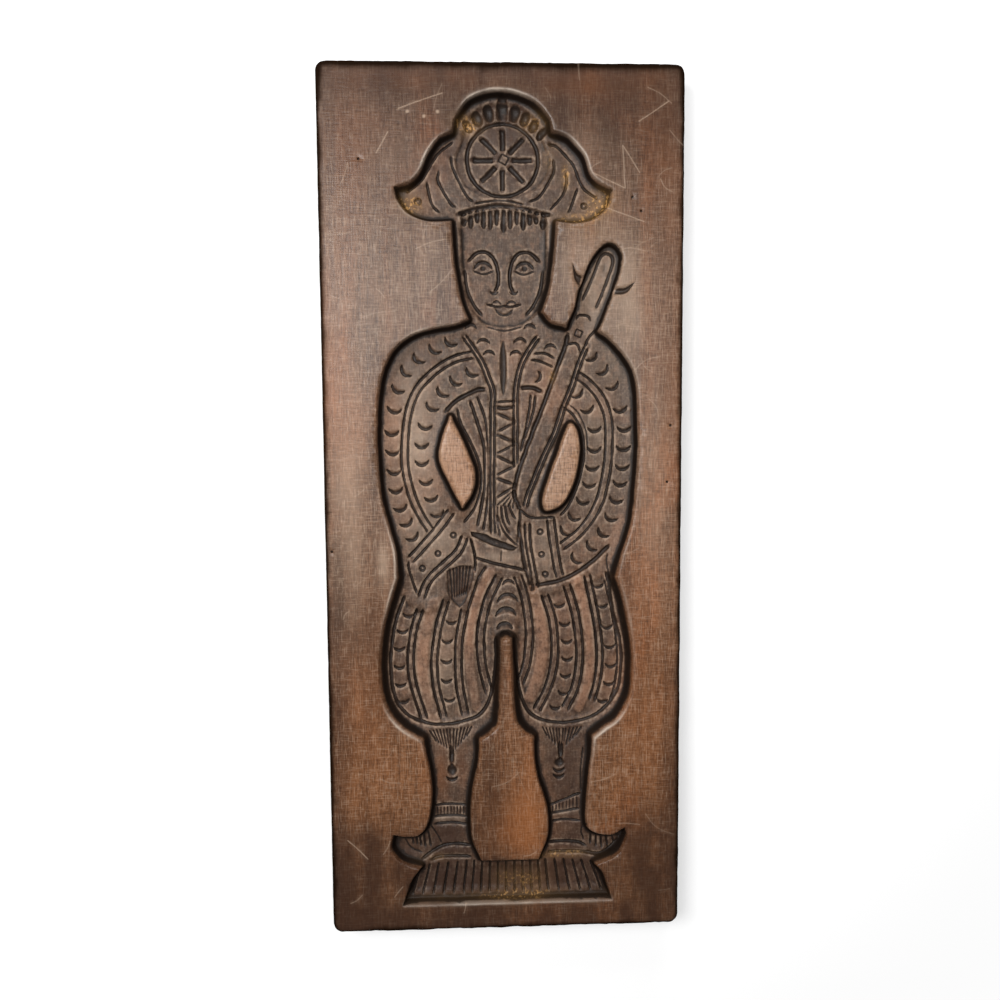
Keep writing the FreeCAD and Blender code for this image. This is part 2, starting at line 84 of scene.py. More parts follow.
ISLANDS: list[list[Run]] = [
    [[(-36.5, 65), (-42.5, 49.5), (-44.3, 36), (-38.5, 21.5), (-29, 2.5)],
     [(-29, 2.5), (-22.5, 12.5), (-20.7, 27), (-27, 44.5), (-36.5, 65)]],
    [[(34.3, 31), (27.6, 11), (27.4, 2.6), (31, -0.2), (41.4, 5.7), (49.3, 23.5), (52.1, 42),
      (50.6, 54), (46.4, 59.4), (42.2, 52), (34.3, 31)]],
    [[(-1.8, -91), (-2.8, -117), (-4.2, -147.5), (-9.4, -156), (-17.7, -162)],
     [(-17.7, -162), (-19.5, -178), (-24.2, -204), (-24.2, -232), (-18, -250)],
     [(-18, -250), (23, -250)],
     [(23, -250), (29.3, -232), (28, -210), (21, -185), (19.2, -162)],
     [(19.2, -162), (11.6, -156), (6.4, -146), (4.4, -120), (3.6, -91)],
     [(3.6, -91), (1, -89.6), (-1.8, -91)]],
]
HOOKS: list[list[Run]] = [
    [[(53, 150), (48.2, 157.5), (46.8, 169.5)], [(46.8, 169.5), (51, 162), (59.5, 160)],
     [(59.5, 160), (53, 150)]],
    [[(73, 154), (82, 152.3), (90.4, 156)], [(90.4, 156), (84, 147.5), (71, 146)],
     [(71, 146), (73, 154)]],
]
FACE: list[Run] = [
    [(-30, 197), (-29, 165), (-24.5, 141), (-14, 127.5), (1, 124.3), (16, 127.5), (27, 141), (31, 165),
     (32, 197)],
    [(32, 197), (14, 206), (-0.5, 208), (-16, 206), (-30, 197)],
]
CROWN: list[Run] = [
    [(-28.5, 250), (-24, 265), (-13, 274), (0.5, 276), (14, 273.5), (25, 264), (29.5, 250)],
    [(29.5, 250), (34, 236), (27, 221), (13, 213), (0.5, 211.5), (-13, 213), (-27, 221), (-33, 236),
     (-28.5, 250)],
]
LEFT_BREECHES: list[Run] = [
    [(-70, -60), (-76.6, -78.6), (-80.6, -107), (-77.8, -132), (-67.8, -146), (-48, -152.6),
     (-27, -150), (-15.8, -143.4), (-9.4, -129), (-6.6, -107), (-6.2, -90)],
    [(-6.2, -90), (-8, -64), (-12, -46)], [(-12, -46), (-24, -52), (-46, -66), (-58, -70), (-70, -60)],
]
RIGHT_BREECHES: list[Run] = [
    [(72, -45), (76.8, -71.4), (82, -96), (82.4, -118), (78, -134), (66, -146.5), (48.4, -152.6),
     (30, -152), (17, -145), (10.4, -129), (7.6, -107), (6.4, -90)],
    [(6.4, -90), (8, -64), (10, -46)], [(10, -46), (22, -59), (44, -55), (72, -45)],
]
GLOVE: list[Run] = [
    [(-40.8, -42), (-40.6, -53), (-39.4, -60.4), (-35.8, -65.6), (-31.6, -69.6)],
    [(-31.6, -69.6), (-27, -65), (-23.4, -55.6), (-21, -46), (-21.2, -40)],
    [(-21.2, -40), (-30, -38.4), (-40.8, -42)],
]
BELT: list[Run] = [
    [(-24, -15), (-13.6, -16.8), (-8.6, -19.3), (-3, -21.4), (3, -23.6), (10, -26.8)],
    [(10, -26.8), (5.7, -29.3), (-1.4, -27.6), (-7, -25.9), (-13, -23.6), (-18.6, -20.7), (-23, -18.8)],
    [(-23, -18.8), (-24, -15)],
]
# Deeper areas: outline, further depth and the width of the slope down to it.
DEEPER: list[tuple[list[Run], float, float]] = [
    (FACE, 2.0, 3.0), (CROWN, 1.4, 2.5), (LEFT_BREECHES, 1.3, 4.0), (RIGHT_BREECHES, 1.3, 4.0),
    (BELT, 2.4, 1.2), (GLOVE, 1.3, 1.0),
]


class Cut(Enum):
    """Gouge cuts by what they make: width and depth in millimetres."""

    FINE = (1.3, 0.9)
    LINE = (2.2, 1.6)
    FIRM = (2.9, 2.0)
    BROAD = (3.8, 2.4)
    STEP = (2.6, 1.2)
    CHANNEL = (7.0, 1.2)
    LACE = (3.4, 1.7)
    LAST_LACE = (3.2, 1.6)
    CROSSING = (2.5, 1.4)
    TOE = (1.6, 1.1)
    TUFT = (1.5, 1.0)
    ANKLE = (1.2, 0.8)
    FLUTE = (1.8, 1.5)
    TROUGH = (4.6, 0.5)
    FINGER = (1.5, 1.1)
    FRAY = (1.8, 1.2)
    RING = (3.3, 2.0)
    SPOKE = (4.3, 2.1)
    HUB = (1.3, 1.1)
    STUD = (1.2, 1.0)


# Long lines, each smooth through its points, by the gouge that cut them.
HAT_LINES: list[tuple[Cut, Run]] = [
    (Cut.LINE, [(-64, 216.5), (-54, 225), (-44, 241), (-33, 249.5)]),
    (Cut.LINE, [(65, 213), (55, 220.5), (48.5, 235), (38.5, 246.5), (31.5, 249)]),
    (Cut.LINE, [(-34.5, 240.5), (-33.5, 233), (-24.5, 215.5), (-19.5, 210.5)]),
    (Cut.LINE, [(-43, 230.5), (-43, 223), (-35, 209.5), (-31.5, 207)]),
    (Cut.LINE, [(-51, 223), (-48, 209.5), (-43, 203.5)]),
    (Cut.LINE, [(35, 238.5), (35, 229.5), (26, 214.5), (18.5, 210.5)]),
    (Cut.LINE, [(44, 229.5), (44, 221.5), (40.5, 214), (33, 205.5)]),
    (Cut.LINE, [(51.5, 219.5), (47, 207), (45, 203.5)]),
    (Cut.BROAD, [(-30.5, 202), (-13, 207), (-0.5, 208), (13, 206.5), (33, 201.5)]),
    (Cut.LINE, [(-18, 209.5), (-0.5, 211.7), (15, 208.5)]),
]
GUN_LINES: list[tuple[Cut, Run]] = [
    (Cut.BROAD, [(45, 121.4), (42, 110), (35, 92), (28.6, 74.3), (21.4, 56.4), (14.3, 38), (10, 25),
                 (7.5, 13.6), (7.9, 8.6), (11.4, 0)]),
    (Cut.LINE, [(64.3, 124.6), (59.3, 118.6), (57, 113)]),
    (Cut.STEP, [(55, 144.3), (61.5, 158.6), (66.8, 172), (70.2, 175.8), (74.4, 174.8), (76, 170),
                (72.4, 158.6), (64.3, 138.6)]),
    (Cut.LINE, [(50.7, 132), (53, 134.3), (58.6, 133.6), (60.4, 130.7)]),
    (Cut.LINE, [(44.6, 114.3), (49.3, 115.4), (52, 113.6), (53.6, 109.3)]),
]
COAT_LINES: list[tuple[Cut, Run]] = [
    (Cut.LINE, [(-6, 75.2), (8.4, 75.2)]),
    (Cut.BROAD, [(-5.3, 71.4), (1.4, 70.6), (7.4, 71.4)]),
    (Cut.FIRM, [(-23, 75.7), (-18, 60), (-13.6, 44), (-13.2, 24), (-14.6, 8.6), (-18.6, -11.4)]),
    (Cut.LINE, [(-18, 78.6), (-13, 63.6), (-11.1, 46), (-11, 24), (-11.6, 3), (-14.6, -14.3)]),
    (Cut.LINE, [(-32, 70.7), (-29.3, 60), (-21.4, 44.3), (-16.8, 32), (-15.8, 18), (-20, 2.3),
                (-28, -8.4)]),
    (Cut.BROAD, [(-12, 84), (-19.3, 83), (-32, 76.4), (-40, 69)]),
    (Cut.LINE, [(21.4, 108), (28.6, 108.4), (35.7, 105)]),
    (Cut.LINE, [(19.3, 103.6), (25, 103), (35, 98.8)]),
    (Cut.BROAD, [(11.8, 84), (16.4, 85), (22, 84.3), (27, 81.8)]),
    (Cut.LINE, [(19.3, 80), (16.4, 60), (11.8, 40)]),
    (Cut.LINE, [(22.4, 79.3), (20.6, 68), (15, 48.7)]),
    (Cut.LINE, [(41, 72), (49.3, 65), (55, 53), (56, 38), (53.6, 23.6), (48, 8), (43.6, 0), (39.3, -4.3)]),
    (Cut.FINE, [(43, 75), (52.4, 66.8), (58, 53), (58.6, 38)]),
    (Cut.LINE, [(-3, -19), (-4.6, -8), (-4.4, 3.6)]),
    (Cut.LINE, [(-4.6, -4.3), (0, -15.7), (9.3, -25.7)]),
    (Cut.LINE, [(-2, 3), (-0.7, -8), (3.6, -17)]),
    (Cut.LINE, [(0.7, 3.6), (2, -5.7), (4, -10.7)]),
    (Cut.LINE, [(3.6, 3.6), (5.7, -3), (8, -6.4)]),
    (Cut.LINE, [(11.4, -0.7), (11, -8), (9.3, -24.3)]),
    (Cut.FIRM, [(-20.7, -33.6), (-8, -37.5), (15, -43)]),
    (Cut.LINE, [(-23, -20.7), (-20.7, -33.6), (-20.4, -43.6)]),
    (Cut.FINE, [(-1.6, -28.5), (-2.6, -37.5)]),
]
CUFF_LINES: list[tuple[Cut, Run]] = [
    (Cut.LINE, [(-67, -36), (-66.6, -42), (-61.4, -58.6)]),
    (Cut.LINE, [(-24.3, -19.3), (-20.7, -31.4), (-20, -40)]),
    (Cut.LINE, [(11.4, 0), (19.3, -5.7), (35, -5.7)]),
    (Cut.BROAD, [(10.4, -10), (13, -28), (14.3, -38.6), (20, -58)]),
    (Cut.BROAD, [(20, -57), (23.6, -53.9), (43.6, -49), (60.7, -38.6), (74, -26)]),
    (Cut.FINE, [(73, -31.5), (72.5, -38.5), (75.5, -56.5)]),
]
BREECHES_LINES: list[tuple[Cut, Run]] = [
    (Cut.FIRM, LEFT_BREECHES[0]),
    (Cut.FIRM, RIGHT_BREECHES[0]),
    (Cut.LINE, [(-13, -40), (-18.2, -48.2), (-21, -57), (-25.6, -70)]),
    (Cut.LINE, [(70.8, -50.6), (75.6, -71.4), (79.2, -90.6), (80.4, -111.4), (78, -129), (74.8, -137)]),
]
LEG_LINES: list[tuple[Cut, Run]] = [
    (Cut.LINE, [(-50, -211.3), (-40, -210.8), (-29, -211.3)]),
    (Cut.LINE, [(-51, -219.6), (-40, -219.2), (-28, -219.8)]),
    (Cut.LINE, [(-51, -225.2), (-40, -224.6), (-28, -225.4)]),
    (Cut.LINE, [(31, -213), (42, -209.6), (53, -205)]),
    (Cut.LINE, [(32, -219), (42, -218), (52, -216)]),
    (Cut.LINE, [(33, -225), (43, -224.4), (53, -224.8)]),
    (Cut.FIRM, [(-60, -250.5), (-48, -242.6), (-40, -240.6), (-26, -241)]),
    (Cut.FIRM, [(-54, -252), (-46, -249.6), (-26, -249.8)]),
    (Cut.FIRM, [(31, -240.5), (50, -241.4), (57, -244)]),
    (Cut.FIRM, [(31, -248), (54, -248.6), (66, -250), (74, -246.6), (80.6, -239.6)]),
    (Cut.FINE, [(-72, -235), (-68, -242), (-60, -246)]),
    (Cut.FINE, [(-56, -222), (-50, -232), (-46, -240)]),
    (Cut.FINE, [(58, -224), (54, -232), (56, -240)]),
    (Cut.FINE, [(54, -203), (53.6, -188), (55.4, -171)]),
]

# Doubled lines with a shallow channel between: the distance between the two and the run midway.
BANDS: list[tuple[float, Run]] = [
    (4.2, [(-59.6, -69.4), (-64.7, -88), (-66.5, -106), (-64.8, -125), (-57.6, -148.5)]),
    (4.2, [(-40.8, -63.3), (-46.5, -82), (-50, -109), (-48, -130), (-43.8, -148)]),
    (4.8, [(-28, -70), (-31.7, -89), (-33, -109), (-31.9, -128), (-28.6, -146.6)]),
    (5.2, [(-3.6, -47), (-12, -65), (-16.6, -84), (-17, -99), (-15.4, -114), (-11.4, -130.7)]),
    (5.2, [(9.4, -46.6), (14.9, -64), (17.4, -84), (17.4, -95), (15.4, -111), (10.8, -124)]),
    (4.8, [(28.4, -60.5), (34, -78), (35.8, -97), (34.4, -115), (29.8, -130), (22.6, -144.2)]),
    (4.8, [(44, -53.5), (50, -73), (53, -92), (53.4, -110), (50.1, -128), (42.8, -143.8)]),
    (4.2, [(58.4, -47), (62.9, -67), (66.5, -86), (68, -105), (66.4, -123), (62, -138)]),
]
DOUBLES: list[tuple[float, Run]] = [
    (4.5, [(-20.5, 107.6), (-34, 104.2), (-45.4, 97.5), (-56.8, 86.9), (-63.6, 75), (-67.4, 58),
           (-68.7, 38), (-67.2, 22), (-61.4, 3), (-51.2, -14.5)]),
    (5.2, [(50.7, 94), (60.6, 86.6), (68.4, 76.8), (73, 65), (73.9, 50), (73.6, 38), (71.2, 20),
           (66.5, 3), (58.2, -11), (50.2, -19.4), (40, -26.8)]),
    (5.0, [(-36.8, -0.7), (-47.2, -14.4), (-59.4, -28), (-65.5, -34.4)]),
    (4.4, [(-27.5, -18.8), (-32, -29), (-40.7, -37.2), (-50.6, -46.2), (-55.4, -53.2), (-58.5, -61.5)]),
    (3.4, [(16.4, -9.6), (16.8, -20.7), (18, -31.4), (22.2, -55)]),
    (5.0, [(32.5, -6.4), (33.8, -17), (37.2, -38.6), (39.7, -48.6)]),
    (2.7, [(-26.6, 120), (-19.4, 110), (-12.4, 97.5), (-7.9, 83.3), (-7.3, 76), (-7.9, 30), (-7.8, -17)]),
    (2.6, [(24.5, 119.5), (18, 110), (12, 98.6), (9.3, 86), (8.8, 78), (8.5, 31)]),
    (2.6, [(57.9, 112.5), (52.8, 100.3), (47.8, 85.3), (42.8, 72.8), (36.8, 54.5), (30.3, 41.2),
           (22.7, 23.7), (17, 9.6), (15, 1.7)]),
]
# Clean raised panels between two bands: width and the run along the middle.
PANELS: list[tuple[float, Run]] = [
    (10, [(-49.6, -65), (-54.8, -81), (-58, -99), (-58, -118), (-55, -133), (-50.4, -148.5)]),
    (8.6, [(-9.6, -43.3), (-18, -61), (-23.2, -80), (-25, -100), (-23.8, -120), (-20, -141)]),
    (10, [(20, -57), (25.4, -78), (26.8, -98), (24.4, -117), (18, -134)]),
    (8.4, [(51.6, -50), (56.7, -70), (60.2, -90), (60.8, -110), (58.2, -128), (52.4, -142.5)]),
]
# Short straight cuts by their gouge, each by both its ends.
Stroke = tuple[float, float, float, float]
SHORT_CUTS: list[tuple[Cut, list[Stroke]]] = [
    (Cut.LACE, [(-5.3, 67.5, 8.6, 61.4), (-5.3, 52.5, 8.6, 46.4), (-5.3, 37.5, 8.6, 31.4)]),
    (Cut.LAST_LACE, [(-5.3, 22.5, 8, 17)]),
    (Cut.CROSSING, [(8.4, 60.8, -5, 54), (8.4, 45.8, -5, 39), (8.4, 30.8, -5, 24), (8, 16.4, -5, 8.6)]),
    (Cut.TOE, [(-67, -233, -66.4, -239), (-64.2, -233, -63.6, -240), (-61.6, -233, -61, -241),
               (-58.8, -232, -57.8, -242), (-55.6, -230, -54, -242), (61, -234.5, 60.6, -243),
               (64.6, -236, 64.8, -245), (68.2, -237, 69, -246), (72, -237, 73.4, -245),
               (76, -235.4, 78, -242.4), (80, -232, 81.6, -238)]),
]
# Upright ovals, the slit below the collar and the tassels' beads: centre, half width and height.
OVALS: list[tuple[float, float, float, float]] = [
    (0.1, 98, 2.8, 19.5), (-38.4, -176, 2.2, 8), (-38.3, -186, 3.8, 4.4), (39.6, -174, 2.2, 8),
    (38.6, -182.4, 3.9, 3.4),
]

# Moon cuts: centre, the way each opens in degrees from the right, and the span between its tips.
SLEEVE_MOONS: list[tuple[float, float, float]] = [
    (-36.5, 115.5, 62), (-47.5, 110.5, 58), (-58.6, 104.4, 50), (-67.7, 95.5, 40), (-73.2, 83.5, 62),
    (-75.4, 69.5, 80), (-77.2, 54, 90), (-77, 40.5, 90), (-76.2, 27, 90), (-75, 14, 98),
    (-71.8, 1.5, 108), (-67.8, -9, 116), (-63.4, -19, 120),
    (-22, 94.5, 60), (-33.5, 88.6, 58), (-42.7, 81.2, 50), (-49.7, 71, 60), (-54.5, 58, 78),
    (-56.8, 45, 90), (-56.9, 33, 90), (-54.2, 19.5, 92), (-50.4, 8, 100), (-46, -3, 108),
    (62, 105, 122), (70, 96, 130), (76.6, 85, 118), (81.8, 69, 100), (84.4, 55.5, 90), (84, 42, 90),
    (83, 29, 88), (81.3, 17.5, 82), (78.6, 5.4, 74), (74.8, -6.6, 62), (69.2, -17.8, 52),
    (61, -27.2, 46), (50, -35.6, 40),
    (52, 80, 122), (59, 69, 110), (63.6, 55.5, 94), (63.5, 41.5, 90), (62, 28.5, 88), (59.8, 16.6, 82),
    (55, 4.8, 72), (48.8, -6.2, 62), (42.5, -16.2, 52),
]
SMALL_MOONS: list[tuple[float, float, float]] = [
    (-67.5, -74, 90), (-72, -85.5, 90), (-74.4, -98, 90), (-74.4, -111, 90), (-74, -124, 90),
    (-72, -136, 95), (-37.5, -79.5, 90), (-40.5, -93, 90), (-41.5, -107.5, 90), (-41.3, -121.5, 90),
    (-39.6, -135.5, 90), (38.8, -68.5, 90), (42.8, -82, 90), (44.4, -94.5, 90), (44.5, -107.4, 90),
    (43.2, -119.5, 90), (41.6, -132, 84), (35.6, -142.4, 80), (66.2, -55, 90), (69.4, -69.4, 90),
    (73, -84.6, 90), (74.9, -98.6, 90), (75.6, -112.6, 90), (74.4, -125.6, 90), (69.4, -138, 84),
    (-38.2, -192.4, 90), (38.2, -187.8, 90), (38.2, -192, 90),
    (-22, 127, 270), (18.5, 126.6, 270), (24.5, 92, 165),
]
ARCHES: list[tuple[float, float, float, float]] = [
    (3, -51.6, 10, 3.4), (2.2, -62.4, 15.4, 4.6), (1, -72.4, 15.4, 5.4), (0, -82, 12, 5.2),
    (0.2, -87.6, 8, 2.4),
    (-13.5, 116.6, 9.6, 3), (-9.8, 108.6, 9, 3), (12, 117, 9.6, 3), (8.9, 108.6, 9, 3), (33, 113, 9, 3),
]

# Oval gouge cuts on the hat: centre, half width, half height, lean in degrees.
PETALS: list[tuple[float, float, float, float, float]] = [
    (0.5, 271, 4.4, 9.6, 0), (-8.8, 268.8, 3.9, 6.4, 14), (-16.4, 265.4, 3.9, 5.6, 24),
    (-23, 260.6, 3.3, 5, 34), (8.8, 269, 4.2, 6.2, -12), (15.8, 265.4, 3.6, 5.4, -22),
    (21.8, 261, 3.3, 5, -32), (27.2, 255.6, 3, 5, -40),
]
# The rosette on the hat, with the radius of its ring and the ends of its spokes.
ROSETTE: Point = (0.5, 238.5)
RING_RADIUS = 24.2
SPOKE_REACH = (6.0, 20.6)
# Small squares on the rosette's hub and on the gun: middle, distance to a corner, way to the first
# corner in radians, and gouge.
SQUARES: list[tuple[Point, float, float, Cut]] = [
    ((1.4, 239), 3.9, 0.3, Cut.HUB), ((52.3, 122), 3.2, 0.4, Cut.STUD),
]
BUTTONS: list[Point] = [(-57, 210.5), (56, 208), (-35.7, -17.5), (-46.4, -30.4), (-57.5, -40.7),
                        (25.4, -16), (26.3, -31.8), (28.8, -46)]

# Rows of upright cuts: gouge, first and last cut, and how many.
ROWS: list[tuple[Cut, Stroke, Stroke, int]] = [
    (Cut.TUFT, (-54, -156.5, -49, -165), (-41.6, -155.6, -39.8, -172), 6),
    (Cut.TUFT, (-39.4, -155.6, -38.8, -177), (-36.4, -155.6, -37.6, -177), 2),
    (Cut.TUFT, (-34, -155.6, -36, -172), (-24, -154.4, -28, -162), 5),
    (Cut.TUFT, (26.4, -155.6, 30, -163), (36.4, -156.6, 38, -172), 5),
    (Cut.TUFT, (38.4, -156.8, 39, -177), (41.4, -156.8, 40.4, -177), 2),
    (Cut.TUFT, (43.4, -156.6, 41.4, -172), (54.5, -156, 50, -163), 5),
    (Cut.ANKLE, (-48.6, -212.4, -48.6, -218.6), (-30.4, -212.4, -30.4, -218.6), 9),
    (Cut.ANKLE, (33.6, -213.4, 33.6, -218), (51, -207.4, 51, -215.4), 8),
    (Cut.FLUTE, (-61.4, -255, -67.5, -276.5), (-28.4, -253, -30.6, -276.5), 6),
    (Cut.FLUTE, (-23, -252.6, -24.6, -276.5), (23, -252.6, 24.6, -276.5), 9),
    (Cut.FLUTE, (28.4, -253, 30.6, -276.5), (61, -255, 68.6, -276.5), 6),
    (Cut.TROUGH, (-58.8, -257, -63.6, -273), (58.8, -257, 63.6, -273), 20),
    (Cut.FINGER, (-38.4, -41, -36.4, -62.5), (-23.6, -39, -27, -60), 7),
    (Cut.FRAY, (7.4, 13.6, -4.4, 3.4), (8.6, 11, 6, 0.4), 4),
]

# Fine scratches on the worn face, by their ends.
SCRATCHES: list[Run] = [
    [(-69, 269), (-40, 279)], [(61, 228), (83, 218), (81, 246), (93, 228)], [(-84, 240), (-76, 254)],
    [(92, 262), (112, 275)], [(-112, -232), (-98, -246)], [(70, 205), (96, 196)],
]
WORMHOLES: list[Point] = [(-119, -27), (115, 58), (113, 19), (-96, 236), (88, 212), (94, 203)]
PALE_DOTS: list[Point] = [(-63, 267), (-52, 264), (-43, 267)]

# Soft patches: centre, reach across, reach along and strength.
Patch = tuple[float, float, float, float, float]
# Worn patches, partly painted sheen and painted highlights.
RUBBED_AND_SHEEN: list[Patch] = [
    (-80, 150, 26, 50, 0.12), (-48, 172, 12, 26, 0.15), (50, 165, 12, 30, 0.6), (84, 150, 18, 46, 0.7),
    (-106, 0, 13, 80, 0.6), (-84, -38, 4, 15, 1.1), (103, 20, 12, 70, 0.4), (-68, 236, 18, 14, 0.2),
    (58, 248, 12, 12, 0.4), (-62, 50, 15, 44, 0.8), (-48, -16, 18, 12, 0.5), (62, 45, 12, 40, 0.3),
    (28, -30, 8, 20, 0.4), (-3, -33, 13, 4, 0.8), (-50, -30, 12, 14, 0.3), (-44, -110, 10, 36, 0.3),
    (0, 60, 8, 40, 0.2), (-40, -221, 12, 2.5, 1.1),
    (43, -218, 10, 2.5, 0.9), (64, 150, 6, 26, 0.4),
]
# Painted highlights along the recess rim.
RIM_HIGHLIGHTS: list[Patch] = [
    (0, 282, 34, 12, 1.0), (-52, 240, 14, 16, 0.9), (54, 236, 14, 20, 1.0), (-80, -44, 8, 30, 1.0),
    (-74, -152, 26, 12, 0.9), (72, -154, 26, 12, 0.9), (0, -282, 80, 4, 0.45), (-70, 200, 14, 12, 0.5),
    (88, -60, 8, 50, 0.4), (88, 100, 14, 26, 0.3), (-50, 122, 30, 8, 0.4), (66, -190, 8, 34, 0.3),
]
# Stains, partly painted shade: darker corners and ends, and a shadow inside the shoulders.
STAINED_AND_SHADED: list[Patch] = [
    (-75, 180, 30, 60, 0.15), (-44, -190, 18, 34, 0.2), (0, -297, 140, 15, 1.0),
    (-108, -270, 40, 36, 0.7), (112, -262, 38, 46, 0.7), (-95, -240, 24, 20, 0.6),
    (98, -234, 22, 24, 0.6), (-108, -80, 22, 34, 0.35), (-120, -150, 10, 90, 0.5),
    (121, -170, 9, 90, 0.5), (0, 298, 140, 20, 0.6), (85, 268, 50, 28, 0.5),
    (105, 190, 22, 40, 0.3), (0, -265, 78, 18, 1.0), (46, -195, 15, 42, 0.8), (-40, -232, 26, 16, 0.6),
    (-75, 285, 40, 12, 0.35), (0, 262, 34, 14, 0.5), (-32, -53, 10, 15, 0.8), (22, 55, 14, 40, 0.3),
    (-8, -200, 14, 34, 0.45), (-84, -110, 14, 50, 0.2), (0, -105, 90, 44, 0.12), (44, -100, 38, 44, 0.3),
    (-50, 108, 26, 12, 0.35), (-70, 96, 14, 20, 0.3), (0, 235, 60, 14, 0.15), (0, 165, 32, 36, 0.15),
]
AMBER: list[Patch] = [
    (-46, -190, 6, 20, 0.6), (-31, -186, 4, 14, 0.45), (10, -222, 18, 26, 1.0), (16, -180, 5, 16, 0.5),
    (-100, -150, 20, 80, 0.35), (100, -150, 22, 90, 0.4), (113, 60, 10, 70, 0.4),
    (-119, 110, 8, 60, 0.6), (60, 288, 50, 10, 1.0), (-60, 290, 46, 8, 0.8), (-108, 60, 10, 60, 0.4),
    (112, 230, 12, 60, 0.6), (-100, 250, 20, 30, 0.5), (-30, 20, 14, 30, 0.3), (-72, 40, 10, 50, 0.4),
]
CRUMBS: list[Patch] = [
    (-62, 209, 9, 8, 0.7), (66, 209, 9, 9, 1.0), (-22, 261, 9, 6, 0.8), (22, 263, 9, 6, 0.5),
    (44, 228, 3, 7, 1.2), (32, 240, 5, 12, 0.3), (8, -268, 18, 10, 0.5), (50, 199, 12, 4, 0.8),
    (0, -278, 60, 3, 0.4), (-50, -250, 14, 3, 0.3), (40, -250, 20, 3, 0.5), (60, 188, 20, 6, 0.2),
    (34, 92, 3, 6, 0.6),
]


@dataclass
class Relief:
    """The height of the board's face on an even grid, in millimetres, zero at board level.

    Attributes:
        width: Width of the board.
        length: Length of the board.
        step: Distance between grid lines.
        seed: Seed of the hand-made unevenness.
    """

    width: float
    length: float
    step: float
    seed: int = 7

    def __post_init__(self) -> None:
        """Lays out the grid lines and a flat face."""
        self.xs = np.linspace(-self.width / 2, self.width / 2, int(round(self.width / self.step)) + 1)
        self.ys = np.linspace(-self.length / 2, self.length / 2, int(round(self.length / self.step)) + 1)
        self.x, self.y = np.meshgrid(self.xs, self.ys)
        self.height = np.zeros_like(self.x)
        wobble_x = self.noise(11.0, 3) * 0.22 + self.noise(3.5, 4) * 0.05
        wobble_y = self.noise(11.0, 5) * 0.22 + self.noise(3.5, 6) * 0.05
        self.hand_x = self.x + wobble_x
        self.hand_y = self.y + wobble_y
        self.pressure = self.noise(6.0, 11) * 0.7 + self.noise(2.5, 12) * 0.3

    def noise(self, size: float, salt: int, size_y: float = 0.0) -> np.ndarray:
        """Smooth unevenness: random heights on a coarse lattice, joined by cubic blends.

        Args:
            size: Distance between lattice points across the board.
            salt: Number that makes this unevenness its own.
            size_y: Distance along the board, or zero for the same.

        Returns:
            Heights on the grid, between about -1 and 1.
        """
        u = (self.xs + self.width) / size
        v = (self.ys + self.length) / (size_y or size)
        rng = np.random.default_rng(self.seed * 100 + salt)
        lattice = rng.uniform(-1, 1, (int(v[-1]) + 2, int(u[-1]) + 2))
        col, row = u.astype(int), v.astype(int)
        fu, fv = u - col, v - row
        fu, fv = fu * fu * (3 - 2 * fu), fv * fv * (3 - 2 * fv)
        low = lattice[row][:, col] * (1 - fu) + lattice[row][:, col + 1] * fu
        high = lattice[row + 1][:, col] * (1 - fu) + lattice[row + 1][:, col + 1] * fu
        return low * (1 - fv)[:, None] + high * fv[:, None]

    def window(self, low: Point, high: Point, margin: float) -> tuple[slice, slice]:
        """The part of the grid round a box.

        Args:
            low: Lower left corner.
            high: Upper right corner.
            margin: Room left on every side.

        Returns:
            Slices of rows and columns.
        """
        rows = np.searchsorted(self.ys, (low[1] - margin, high[1] + margin))
        cols = np.searchsorted(self.xs, (low[0] - margin, high[0] + margin))
        return slice(rows[0], rows[1] + 1), slice(cols[0], cols[1] + 1)

    def to_line(self, points: np.ndarray, area: tuple[slice, slice]) -> tuple[np.ndarray, np.ndarray]:
        """How far each grid point is from a line, and how far along it the nearest place is.

        Args:
            points: Corners of the line, one row each.
            area: Part of the grid to work on.

        Returns:
            Distances, and lengths along the line.
        """
        x, y = self.hand_x[area], self.hand_y[area]
        best = np.full(x.shape, 1e9)
        along = np.zeros(x.shape)
        start = 0.0
        for (ax, ay), (bx, by) in zip(points[:-1], points[1:]):
            dx, dy = bx - ax, by - ay
            length = math.hypot(dx, dy) or 1e-9
            t = np.clip(((x - ax) * dx + (y - ay) * dy) / length ** 2, 0, 1)
            away = np.hypot(x - ax - t * dx, y - ay - t * dy)
            nearer = away < best
            best = np.where(nearer, away, best)
            along = np.where(nearer, start + t * length, along)
            start += length
        return best, along

    def inward(self, runs: list[Run], reach: float = 12.0) -> np.ndarray:
        """Signed distance to a closed outline: positive inside, and no further than the reach.

        Inside is where a line to the right crosses the outline an odd number of times.

        Args:
            runs: The outline's runs.
            reach: Largest distance that matters.

        Returns:
            Distances on the whole grid.
        """
        outline = np.concatenate([smooth(run, 6)[:-1] for run in runs])
        closed = np.vstack([outline, outline[:1]])
        away = np.full(self.x.shape, reach)
        inside = np.zeros(self.x.shape, bool)
        for a, b in zip(closed[:-1], closed[1:]):
            low, high = np.minimum(a, b), np.maximum(a, b)
            area = self.window(tuple(low), tuple(high), reach)
            distance, _ = self.to_line(np.array([a, b]), area)
            away[area] = np.minimum(away[area], distance)
            if a[1] != b[1]:
                rows = self.window((-self.width, low[1]), (self.width, high[1]), 1.0)[0]
                y = self.hand_y[rows]
                crossing = a[0] + (y - a[1]) * (b[0] - a[0]) / (b[1] - a[1])
                inside[rows] ^= ((y > a[1]) != (y > b[1])) & (self.hand_x[rows] < crossing)
        return np.where(inside, away, -away)

    def carve(self, area: tuple[slice, slice], depth: np.ndarray) -> None:
        """Takes a depth off the face in one part of the grid."""
        self.height[area] -= depth

